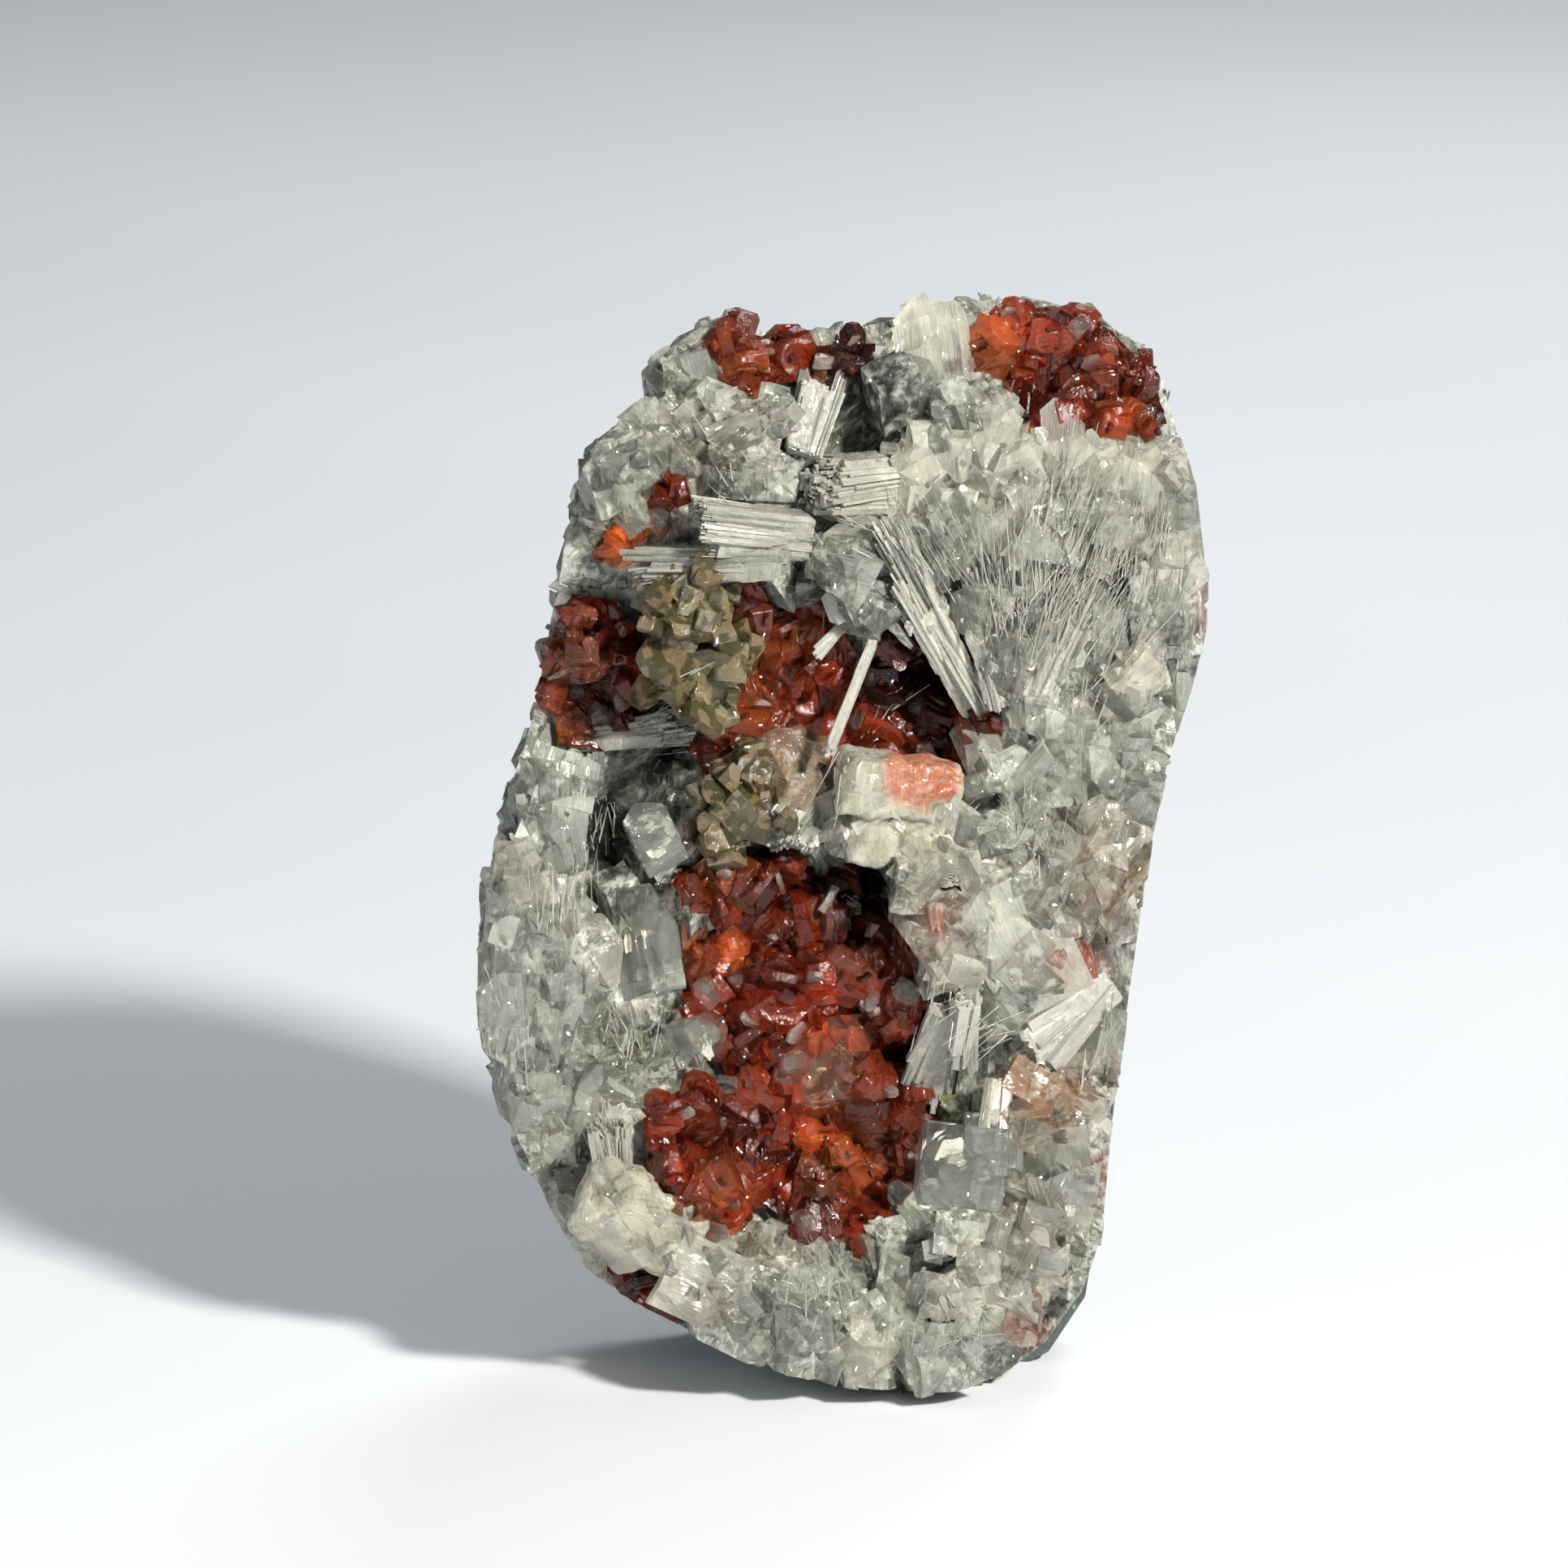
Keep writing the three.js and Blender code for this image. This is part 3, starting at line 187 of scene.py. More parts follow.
# Scolecite: root, tip, width and depth at the tip, share of them at the root, width of a fibre, how
# far the ends are frayed, and how white it is
BUNDLES = {
    "scolecite_bar_upper": ((-7.0, -25.4, 110.4), (-21.4, -29.0, 112.3), 6.2, 5.5, 0.9, 0.30, 0.22, 0.35),
    "scolecite_bar_lower": ((-10.0, -29.5, 108.1), (-29.0, -24.1, 105.8), 4.4, 4.5, 0.8, 0.26, 0.22, 0.45),
    "scolecite_cream_block": ((5.0, -17.7, 115.8), (-6.0, -25.6, 116.0), 7.6, 6.0, 0.9, 0.40, 0.18, 0.5),
    "scolecite_blade": ((-7.8, -24.4, 120.2), (-4.6, -18.6, 129.8), 5.6, 4.0, 0.8, 0.34, 0.26, 0.45),
    "scolecite_fan_left": ((14.0, -22.8, 87.7), (0.6, -30.3, 114.0), 6.5, 4.0, 0.5, 0.28, 0.5, 0.85),
    "scolecite_fan_middle": ((17.0, -26.4, 89.5), (14.0, -27.2, 111.2), 8.0, 4.0, 0.5, 0.26, 0.6, 0.8),
    "scolecite_fan_right": ((20.2, -27.9, 90.3), (30.4, -26.2, 114.5), 9.0, 4.0, 0.5, 0.26, 0.6, 0.8),
    "scolecite_shelf": ((-36.0, -15.3, 82.6), (-21.4, -18.0, 84.9), 3.4, 4.0, 0.8, 0.26, 0.24, 0.4),
    "scolecite_plate": ((-4.6, -18.7, 79.5), (-10.6, -25.8, 70.9), 7.4, 3.6, 0.7, 0.34, 0.2, 0.3),
    "scolecite_tail": ((4.0, -24.5, 68.5), (12.6, -27.7, 68.7), 3.4, 3.0, 0.9, 0.30, 0.24, 0.6),
    "scolecite_upright": ((12.2, -22.6, 43.1), (12.8, -26.0, 53.9), 3.0, 3.0, 0.9, 0.6, 0.14, 0.9),
    "scolecite_falling_spray": ((10.0, -23.7, 50.3), (6.8, -16.8, 35.4), 6.5, 3.0, 0.4, 0.5, 0.30, 0.6),
    "scolecite_diagonal": ((30.4, -19.7, 52.7), (17.4, -25.8, 42.8), 6.2, 5.0, 0.5, 0.9, 0.24, 0.6),
    "scolecite_stem": ((16.6, -23.4, 41.2), (16.0, -27.0, 34.8), 3.0, 3.0, 0.9, 0.6, 0.20, 0.6),
    "scolecite_stub": ((-31.0, -23.6, 28.9), (-31.8, -25.1, 36.7), 5.0, 3.4, 0.9, 0.36, 0.24, 0.4),
    "scolecite_rosette": ((7.6, -24.6, 12.7), (15.6, -25.3, 16.4), 7.0, 4.0, 0.4, 0.36, 0.24, 0.5),
    "scolecite_needle_long": ((2.2, -23.0, 100.4), (-4.6, -26.5, 83.4), 1.1, 1.0, 0.8, 0.34, 0.03, 0.8),
    "scolecite_needle_short": ((-0.8, -22.6, 100.9), (-6.4, -25.4, 95.6), 0.9, 0.8, 0.8, 0.3, 0.05, 0.8),
}
STRANDS = 7  # a bundle is this many strands, each a little off the bundle's own direction
STRAND_LEAN = 0.045
SHORTEST_FIBRE = 0.25  # of the bundle's length
SHEAF_FROM = 0.5  # bundles frayed as far as this are sheaves of fine needles that sink into the crust
BUNDLE = {"packed": 1.3, "tone_varies": 0.2, "core_sunk": 0.12, "core_finish": None, "core_shadow": True}
SHEAF = {
    "packed": 0.8, "tone_varies": 0.3, "core_sunk": 0.8, "core_finish": "pale_apophyllite",
    "core_shadow": False,
}

# Pieces that the crust's small crystals partly overgrow
MERGED = (
    "scolecite_fan_left", "scolecite_fan_middle", "scolecite_fan_right", "scolecite_cream_tablet",
    "scolecite_white_mass", "scolecite_rosette", "scolecite_plate",
)
OVERGROWN = 0.3  # how many of the small crystals that land on them stay

# Solids that are finished with finer faces of their own: how fine these are
CRUST_CELL, STONE_CELL, RED_CELL, CORE_CELL, MASS_CELL = 1.1, 1.2, 1.0, 0.8, 0.6
CORE_ROUNDS, MASS_ROUNDS = 2, 14  # how often the edges of a bundle's core and of a mass are smoothed
MOST_HALVINGS = 6
HELD_BACK = 0.05  # where their surface isn't rough, it lies this far inside the solid
GROUND_PAINTED_SHADE = 0.6  # crust and heulandite seen between and through their crystals are painted this much darker, as shade

# The crust's crystals, from large to small, lying along its surface
GLASSY_SHARE = 0.5  # the share of them that are darker and clearer than the rest
GLASSY_DEPTHS = (0.35, 0.7)  # and how much darker
BARE_IN_SHADE = 1.2  # how surely the patches of painted shade lack them
SHRUNK = 0.45  # a crystal that would hide another piece is made this small
CRUST_LAYERS = {
    "crust_blocks": {
        "spacing": 4.2, "wide": (3.4, 7.2), "thick": (2.6, 5.0), "long": (5.0, 12.0), "proud": (0.4, 2.2),
        "apart": 11.0, "lift": (0.0, 0.5), "tilt": 0.24, "margin": 1.6, "vary": 0.18,
    },
    "crust_chips": {
        "spacing": 3.9, "wide": (1.8, 4.0), "thick": (1.6, 3.4), "long": (2.4, 6.0), "proud": (0.2, 1.2),
        "apart": 7.0, "lift": (0.0, 0.6), "tilt": 0.34, "margin": 0.9, "vary": 0.3,
    },
    "crust_flakes": {
        "spacing": 3.3, "wide": (0.6, 1.5), "thick": (0.4, 1.2), "long": (0.8, 2.4), "proud": (0.05, 0.4),
        "apart": 4.0, "lift": (0.0, 1.2), "tilt": 0.6, "margin": 0.6, "vary": 0.4,
    },
}

# Heulandite: how far apart its lumps stand, how far each reaches, how many blades it has (fewer than
# the second number), how far it opens to either side, and its blades' width, thickness and length
LUMPS_APART = 4.6
LUMP_REACH = (3.2, 6.6)
LUMP_BLADES = (5, 10)
LUMP_OPENS = 1.0
LUMP_SUNK = 0.42  # how much of its reach a lump is sunk into the solid
LUMP_DEPTHS = (0.4, 1.35)  # a lump is this much darker or lighter than its place
BLADE_SHAPE = ((0.7, 1.15), (0.3, 0.65), (0.7, 1.1))
NEAT_LUMPS, NEAT_LEAN, LOOSE_LEAN = 0.6, 0.15, 0.5  # most lumps are neat, and the others looser

# The small blades on these lumps, some of them pink and pale
SMALL_BLADES_APART = 3.8
SMALL_BLADES = ((0.6, 2.0), (0.3, 0.9), (0.8, 2.2))
FROSTED, FROST = 0.16, (0.3, 0.9)

# Lone crystals: the kind of each, how many smaller ones stand by it, and how far these lean
GROWTHS = {
    "apophyllite_crown": ("milky", 7, 0.14),
    "apophyllite_prism": ("spike", 1, 0.06),
    "apophyllite_green_upper": ("green", 54, 0.4),
    "apophyllite_green_round": ("green", 60, 0.4),
    "apophyllite_green_centre": ("green", 60, 0.4),
    "apophyllite_tan": ("tan", 9, 0.16),
    "apophyllite_clear_tooth": ("slim_clear", 3, 0.05),
    "apophyllite_clear_long": ("slim_clear", 4, 0.05),
    "apophyllite_clear_glint": ("slim_clear", 4, 0.12),
    "apophyllite_amber_block": ("amber", 4, 0.10),
    "apophyllite_lower_clear": ("clear", 6, 0.16),
}
GROWTH_SHARE = (0.28, 0.6)  # how large the smaller ones are, as a share of the large one
ROUND_SHARE = (0.14, 0.42)  # and where they point outwards all round
GROWTH_SPREAD = 0.42  # how far they stand from its middle, as a share of its size

# Milky plates and clear cracks inside each clear crystal
VEILS, CRACKS = 3, 8
VEIL_SPREAD = 0.22  # how far they lie from the crystal's middle, as a share of its size
VEIL_SHARE = (0.15, 0.4)
VEIL_THICK = 0.06

# Tiny crystals that flash in the light
GLITTER_APART = 3.2
GLITTER_LEAN = 0.035
GLITTER_SIZES = (0.12, 0.75)
GLITTER_SHAPE = (1.3, 0.5, 1.6)

# Small sprays of loose needles: across, height, direction, spread, length, count
NEEDLES_STRAY = 2.2  # how far a needle's foot lies from its spray's place
NEEDLE_WIDTHS = (0.1, 0.26)
SPRAYS = [
    (-5, 95, 75, 22, 10, 5), (3, 84, 60, 30, 6, 6), (20, 96, 100, 24, 14, 40),
    (28, 98, 60, 18, 14, 46), (24, 92, 75, 14, 12, 36), (-22, 83, 20, 40, 5, 30),
    (-19, 85.5, 30, 24, 4, 16), (14, 74, 45, 16, 6, 5), (-2, 78, 250, 24, 8, 20),
    (33, 42, 80, 10, 6, 8), (-29, 33, 110, 24, 6, 18), (-3, 14, 95, 60, 6, 40),
    (14, 8, 80, 70, 5, 40), (18, 46, 210, 30, 6, 20), (-26, 44, 100, 30, 7, 30),
    (30, 104, 70, 14, 9, 130), (36, 102, 80, 14, 9, 90), (22, 100, 92, 14, 9, 110),
    (33, 94, 64, 16, 8, 70), (26, 110, 78, 16, 8, 60), (12, 104, 118, 12, 8, 50),
    (24, 70, 100, 60, 6, 40), (-30, 70, 95, 24, 6, 24), (30, 86, 80, 40, 5, 24),
    (12.6, 49, 262, 10, 5, 12), (-12, 114, 120, 50, 5, 26), (2, 109, 150, 30, 6, 20),
    (-36, 60, 90, 20, 7, 30), (-40, 44, 95, 16, 7, 26),
]

# Small glassy crystals: across, height, width, length
GLINTS = [
    (-16, 50.4, 3.4, 4), (-15.2, 38.8, 2.2, 4.6), (-21.6, 44.2, 3, 4.6), (-6, 41, 3.6, 4),
    (-8, 20, 3.6, 4), (7.8, 24.6, 3, 3.6), (-22.4, 108.2, 3, 3.4), (-29.5, 85, 2.4, 2.6),
    (-26, 74.6, 4, 4), (23.4, 33.6, 4.4, 4), (29, 15, 2.4, 4), (8.4, 50.6, 3.4, 3.6),
    (9.6, 85.8, 2.2, 2.6), (10.6, 80.2, 2.8, 2.6), (29, 132, 3, 2.6), (-2, 132.6, 2.2, 2.6),
    (-13, 52.4, 2, 2.4), (3.6, 49.6, 2.4, 2), (27, 36, 3.4, 4), (-4.6, 22, 2.4, 2.8),
    (31.6, 21, 3, 4), (22, 68.6, 3, 2.4), (5, 20.6, 2.4, 3), (-32.6, 88, 2, 2),
]


def srgb(text):
    """A colour written as #rrggbb, as Blender's linear colour."""
    parts = [int(text[i:i + 2], 16) / 255 for i in (1, 3, 5)]
    return np.array([c / 12.92 if c <= 0.04045 else ((c + 0.055) / 1.055) ** 2.4 for c in parts])


PALE_DEEP = srgb("#62665a")
PALE_MID = srgb("#9a9d8e")
PALE_LIGHT = srgb("#e3e5da")
COOL_TONE = srgb("#96a094")
MILK_TONE = srgb("#dad8cb")
CREAM_TONE = srgb("#c9c0a8")
MOSS_TONE = srgb("#3e421c")
MOSS_LIGHT = srgb("#7e8048")
TAN_TONE = srgb("#a48c62")
MASS_TONE = srgb("#9f9a88")
RUST_TONE = srgb("#a06d42")
# The near-black green of the painted shade in the crust's hollows
SHADE_TONE = srgb("#1f2620")
RED_TONE = srgb("#b03604")
RED_DEEP = srgb("#581602")
ORANGE_TONE = srgb("#e07a34")
PINK_TONE = srgb("#a8705a")
WINE_TONE = srgb("#1e0403")
SALMON_TONE = srgb("#b26f50")
WHITE_TONE = srgb("#cfcdc1")
FIBRE_TONE = srgb("#8d9182")
GLASS_TONE = srgb("#eceee8")
ABSORBED, ABSORBS = srgb("#cfe0d2"), 20.0  # what clear apophyllite lets through, and how dense it is
SKY_TONE = srgb("#d6dade")
FLOOR_TONES = (srgb("#e4e8ec"), srgb("#eaedf0"))
STONE_TONES = (srgb("#2c3330"), srgb("#4c5652"))
STONE_GRAIN, STONE_PORES = srgb("#7c8580"), srgb("#8fa094")

APOPHYLLITE_IOR, HEULANDITE_IOR, SCOLECITE_IOR = 1.535, 1.5, 1.51

RIPPLE_WAVES = 5  # how many waves a soft random field is the mean of


# Places and fields

def picture_place(points):
    """Across and height of points, as the photograph shows them."""
    moved = points - PICTURE_ORIGIN
    return np.stack([moved[:, 0], moved @ PICTURE_UP], axis=1)


def within(place, across, height, half_width, half_height, strength):
    """How strongly one patch works at each place on the picture."""
    away = ((place[:, 0] - across) / half_width) ** 2 + ((place[:, 1] - height) / half_height) ** 2
    return strength * np.exp(-PATCH_FADE * away ** PATCH_EDGE)


def field(points, patches):
    """How strongly a list of patches works at each point."""
    place = picture_place(points)
    total = np.zeros(len(points))
    for patch in patches:
        total = np.maximum(total, within(place, *patch))
    return total


def ripple(points, length, seed):
    """A soft random field between -1 and 1 whose waves are about this long."""
    random = np.random.default_rng(seed)
    total = np.zeros(len(points))
    for _ in range(RIPPLE_WAVES):
        wave = random.normal(size=3)
        wave *= 2 * math.pi / (length * np.linalg.norm(wave)) * random.uniform(0.6, 1.7)
        total += np.sin(points @ wave + random.uniform(0, 6.3))
    return total / RIPPLE_WAVES


def unit(vectors):
    return vectors / np.maximum(np.linalg.norm(vectors, axis=-1, keepdims=True), 1e-9)


def mix(first, second, share):
    share = np.clip(share, 0, 1)[:, None]
    return first * (1 - share) + second * share


def smoothly_ground(stretch):
    """Whether stretches of the edge are among those that are ground smooth."""
    return (stretch >= GROUND_FROM) & (stretch <= GROUND_TO)


def past_edge(place):
    """How far each place on the picture lies outside the edge, the nearest place on the edge, and
    which stretch of the edge that is."""
    start, end = EDGE, np.roll(EDGE, -1, axis=0)
    along = end - start
    away = np.full(len(place), 1e9)
    nearest = np.zeros_like(place)
    stretch = np.zeros(len(place), int)
    inside = np.zeros(len(place), bool)
    for i, (a, d) in enumerate(zip(start, along)):
        share = np.clip(((place - a) @ d) / (d @ d), 0, 1)
        foot = a + share[:, None] * d
        distance = np.linalg.norm(place - foot, axis=1)
        closer = distance < away
        away[closer], nearest[closer], stretch[closer] = distance[closer], foot[closer], i
        crosses = (a[1] > place[:, 1]) != (a[1] + d[1] > place[:, 1])
        if abs(d[1]) > 1e-9:
            left_of = place[:, 0] < a[0] + d[0] * (place[:, 1] - a[1]) / d[1]
            inside ^= crosses & left_of
    return np.where(inside, -away, away), nearest, stretch


def keep_within(points, low, high):
    """Pulls points back to the ground edges of the grown face and into the solids' box."""
    place = picture_place(points)
    beyond, nearest, stretch = past_edge(place)
    passes = smoothly_ground(stretch) & (beyond > GROUND_SLACK)
    share = np.where(passes, 1 - GROUND_SLACK / np.maximum(beyond, 1e-6), 0)[:, None]
    pull = (nearest - place) * share
    points = points + pull[:, :1] * ACROSS + pull[:, 1:] * PICTURE_UP
    return np.clip(points, low, high)


def moved_within(corners, slack):
    """Moves whole crystals back to the broken edges of the grown face, each to its own slack."""
    number, each = corners.shape[:2]
    place = picture_place(corners.reshape(-1, 3))
    beyond, nearest, stretch = past_edge(place)
    excess = np.where(smoothly_ground(stretch), -np.inf, beyond).reshape(number, each) - slack
    worst = np.argmax(excess, axis=1)
    row = np.arange(number)
    pull = (nearest - place).reshape(number, each, 2)[row, worst]
    pull = unit(pull) * np.maximum(excess[row, worst], 0)[:, None]
    return corners + (pull[:, :1] * ACROSS + pull[:, 1:] * PICTURE_UP)[:, None, :]


# Solids as search trees

def triangles_of(obj):
    """Corners and triangles of a mesh object, in millimetres."""
    mesh = obj.data
    corners = np.zeros(len(mesh.vertices) * 3)
    mesh.vertices.foreach_get("co", corners)
    mesh.calc_loop_triangles()
    faces = np.zeros(len(mesh.loop_triangles) * 3, int)
    mesh.loop_triangles.foreach_get("vertices", faces)
    return corners.reshape(-1, 3) / MM, faces.reshape(-1, 3)


class Surface:
    """Meshes that crystals can land on, each with a label."""

    def __init__(self):
        self.corners, self.faces, self.labels = [], [], []
        self.count = 0
        self.tree = None

    def add(self, label, corners, faces):
        self.corners.append(corners)
        self.faces.append(faces + self.count)
        self.labels += [label] * len(faces)
        self.count += len(corners)
        self.tree = None

    def search(self):
        if self.tree is None:
            corners = np.concatenate(self.corners).tolist()
            self.tree = BVHTree.FromPolygons(corners, np.concatenate(self.faces).tolist())
        return self.tree


def shower(surface, direction, spacing, random, low, high):
    """Where a jittered shower of rays along a direction first meets the surface."""
    direction = unit(np.asarray(direction, float))
    side = unit(np.cross(direction, (0, 0, 1.0)))
    rise = np.cross(side, direction)
    middle = (low + high) / 2
    reach = np.linalg.norm(high - low) / 2
    steps = np.arange(-reach, reach, spacing)
    grid = np.stack(np.meshgrid(steps, steps), axis=-1).reshape(-1, 2)
    grid = grid + random.uniform(-0.5, 0.5, grid.shape) * spacing
    starts = middle + grid[:, :1] * side + grid[:, 1:] * rise - direction * 2 * reach
    tree = surface.search()
    heading = Vector(direction)
    hits = [tree.ray_cast(Vector(start), heading) for start in starts]
    hits = [hit for hit in hits if hit[0] is not None]
    points = np.array([hit[0][:] for hit in hits])
    normals = np.array([hit[1][:] for hit in hits])
    labels = np.array([surface.labels[hit[2]] for hit in hits])
    return points, normals, labels


# Directions along which rays look for the surface
FRONT = tuple(SIGHT)
FROM_LEFT = (0.85, 0.5, -0.1)
FROM_RIGHT = (-0.8, 0.6, -0.15)
FROM_ABOVE = (0.1, 0.55, -0.85)
FROM_BELOW = (0.1, 0.8, 0.5)
ALL_ROUND = (FRONT, FROM_LEFT, FROM_RIGHT, FROM_ABOVE, FROM_BELOW)


def thinned(points, spacing):
    """Indices of points of which no two lie closer than the spacing."""
    taken = {}
    kept = []
    for i, point in enumerate(points):
        cell = tuple(np.floor(point / spacing).astype(int))
        near = [
            points[j]
            for dx in (-1, 0, 1) for dy in (-1, 0, 1) for dz in (-1, 0, 1)
            for j in taken.get((cell[0] + dx, cell[1] + dy, cell[2] + dz), ())
        ]
        if all(np.sum((point - other) ** 2) >= spacing * spacing for other in near):
            taken.setdefault(cell, []).append(i)
            kept.append(i)
    return np.array(kept, int)


# Crystal forms: one unit wide (x), thick (y) and long (z), with the root at z = 0

class Form:
    """The corners and faces of one crystal, ready to be set many times."""

    def __init__(self, bm):
        bmesh.ops.recalc_face_normals(bm, faces=bm.faces[:])
        bm.verts.ensure_lookup_table()
        bm.verts.index_update()
        self.corners = np.array([v.co[:] for v in bm.verts])
        self.loops = np.array([v.index for f in bm.faces for v in f.verts])
        self.totals = np.array([len(f.verts) for f in bm.faces])
        bm.free()


def cut_off(bm, point, normal):
    """Cuts a convex form with a plane and closes it again."""
    geometry = bm.verts[:] + bm.edges[:] + bm.faces[:]
    cut = bmesh.ops.bisect_plane(
        bm, geom=geometry, dist=1e-5, plane_co=point, plane_no=normal, clear_outer=True)
    rim = [e for e in cut["geom_cut"] if isinstance(e, bmesh.types.BMEdge)]
    if len(rim) > 2:
        bmesh.ops.contextual_create(bm, geom=rim)


def bevelled(bm, offset):
    """Takes off every edge."""
    bmesh.ops.bevel(
        bm, geom=bm.edges[:], offset=offset, offset_type="OFFSET", segments=1, profile=0.5,
        affect="EDGES", material=-1)


def straight_block():
    """A block one unit each way, standing on z = 0."""
    bm = bmesh.new()
    bmesh.ops.create_cube(bm, size=1.0)
    bmesh.ops.translate(bm, verts=bm.verts[:], vec=(0, 0, 0.5))
    return bm


def chipped_block(random):
    """Apophyllite: a squarish prism with slanting broken ends and some corners gone."""
    bm = straight_block()
    for end, height in ((1, random.uniform(0.8, 0.95)), (-1, random.uniform(0.05, 0.2))):
        slant = Vector((random.normal() * 0.5, random.normal() * 0.5, end)).normalized()
        cut_off(bm, (0, 0, height), slant)
    for _ in range(3):
        corner = Vector((random.choice((-1, 1)), random.choice((-1, 1)), random.uniform(-0.6, 1.2)))
        corner.normalize()
        middle = Vector((0, 0, 0.5))
        reach = 0.5 * (abs(corner.x) + abs(corner.y) + abs(corner.z))
        cut_off(bm, middle + corner * reach * random.uniform(0.66, 0.88), corner)
    return Form(bm)


def thin_plate(random):
    """A cleaved flake with a jagged end."""
    bm = straight_block()
    for lean in (-1, 1):
        tilt = Vector((lean * random.uniform(0.4, 1.4), random.normal() * 0.1, 1)).normalized()
        cut_off(bm, (lean * random.uniform(0.0, 0.3), 0, random.uniform(0.75, 0.95)), tilt)
    side = Vector((random.choice((-1, 1)), 0, random.uniform(-0.5, -0.1))).normalized()
    cut_off(bm, Vector((side.x * 0.42, 0, 0.2)), side)
    return Form(bm)


def splinter(random):
    """A slender needle that narrows to a chisel tip."""
    bm = bmesh.new()
    bmesh.ops.create_cone(
        bm, cap_ends=True, cap_tris=False, segments=4, radius1=0.5, radius2=random.uniform(0.12, 0.3),
        depth=1)
    bmesh.ops.translate(bm, verts=bm.verts[:], vec=(0, 0, 0.5))
    return Form(bm)


def rod(random):
    """A straight four-sided fibre."""
    bm = straight_block()
    turn = Matrix.Rotation(random.uniform(0, 1.5), 3, "Z")
    bmesh.ops.rotate(bm, verts=bm.verts[:], cent=(0, 0, 0), matrix=turn)
    return Form(bm)


def coffin_blade(random):
    """Heulandite: a flat blade, widest above its middle, with bevelled edges and a slanting tip."""
    bm = straight_block()
    for lean in (-1, 1):
        root = Vector((lean, 0, -random.uniform(0.25, 0.5))).normalized()
        cut_off(bm, Vector((lean * 0.5, 0, random.uniform(0.5, 0.7))), root)
        tip = Vector((lean, 0, random.uniform(0.9, 2.0))).normalized()
        cut_off(bm, Vector((lean * random.uniform(0.25, 0.45), 0, random.uniform(0.8, 0.95))), tip)
        face = Vector((0, lean, random.uniform(0.5, 0.9))).normalized()
        cut_off(bm, Vector((0, lean * 0.5, random.uniform(0.5, 0.8))), face)
    bevelled(bm, 0.02)
    return Form(bm)


def glassy_block(random, bevel=0.03):
    """A sharp clear crystal with bevelled or plain edges."""
    bm = straight_block()
    for x in (-1, 1):
        for y in (-1, 1):
            corner = Vector((x, y, random.uniform(0.9, 1.3))).normalized()
            cut_off(bm, Vector((x * 0.5, y * 0.5, 1)) - corner * random.uniform(0.16, 0.3), corner)
    if bevel:
        bevelled(bm, bevel)
    return Form(bm)


def family(maker, count, seed):
    """Several forms of one kind."""
    random = np.random.default_rng(seed)
    return [maker(random) for _ in range(count)]


BLOCKS = family(chipped_block, 9, 41)
PLATES = family(thin_plate, 6, 42)
SPLINTERS = family(splinter, 3, 43)
RODS = family(rod, 3, 44)
BLADES = family(coffin_blade, 6, 45)
GLASS = family(glassy_block, 4, 46)
SPARKS = family(lambda random: glassy_block(random, 0), 4, 47)


# Many crystals as one mesh

class Crop:
    """Crystals set down one after another, to be joined into one mesh. Each is moved back whole
    where it would leave the solids' box or the broken edge."""

    def __init__(self, low, high):
        self.low, self.high = low, high
        self.corners, self.loops, self.totals, self.grain, self.tint = [], [], [], [], []
        self.count = 0

    def grow(self, form, roots, side, up, size, tint, tip_tint, random):
        """Sets one form at each root. size is width, thickness and length."""
        out = np.cross(up, side)
        axes = np.stack([side, out, up], axis=1)
        local = form.corners[None] * size[:, None, :]
        corners = np.einsum("nkj,nji->nki", local, axes) + roots[:, None, :]
        corners = moved_within(corners, random.uniform(*ROUGH_SLACK, (len(roots), 1)))
        over = np.maximum(corners.max(axis=1) - self.high, 0)
        under = np.maximum(self.low - corners.min(axis=1), 0)
        corners = corners + (under - over)[:, None, :]
        number, each = corners.shape[:2]
        shift = np.arange(number)[:, None] * each
        self.corners.append(corners.reshape(-1, 3))
        self.loops.append((form.loops[None] + shift).ravel() + self.count)
        self.totals.append(np.tile(form.totals, number))
        self.grain.append((local + random.uniform(-90, 90, (number, 1, 3))).reshape(-1, 3))
        share = form.corners[None, :, 2:] * np.ones((number, 1, 1))
        blend = np.clip((share - 0.2) / 0.7, 0, 1)
        colour = tint[:, None, :] * (1 - blend) + tip_tint[:, None, :] * blend
        self.tint.append(np.concatenate([colour, share], axis=2).reshape(-1, 4))
        self.count += number * each

    def scatter(self, forms, roots, side, up, size, tint, tip_tint, random):
        """As grow, with a form picked at random for each root."""
        pick = random.integers(0, len(forms), len(roots))
        for i, form in enumerate(forms):
            own = pick == i
            if own.any():
                self.grow(form, roots[own], side[own], up[own], size[own], tint[own], tip_tint[own], random)

    def arrays(self):
        corners = keep_within(np.concatenate(self.corners), self.low, self.high)
        return (
            corners, np.concatenate(self.loops), np.concatenate(self.totals),
            np.concatenate(self.grain), np.concatenate(self.tint),
        )


def fanned(loops, totals):
    """Polygons cut into triangles."""
    starts = np.concatenate([[0], np.cumsum(totals)[:-1]])
    faces = []
    for total in np.unique(totals):
        first = starts[totals == total]
        for k in range(1, total - 1):
            faces.append(np.stack([loops[first], loops[first + k], loops[first + k + 1]], axis=1))
    return np.concatenate(faces)


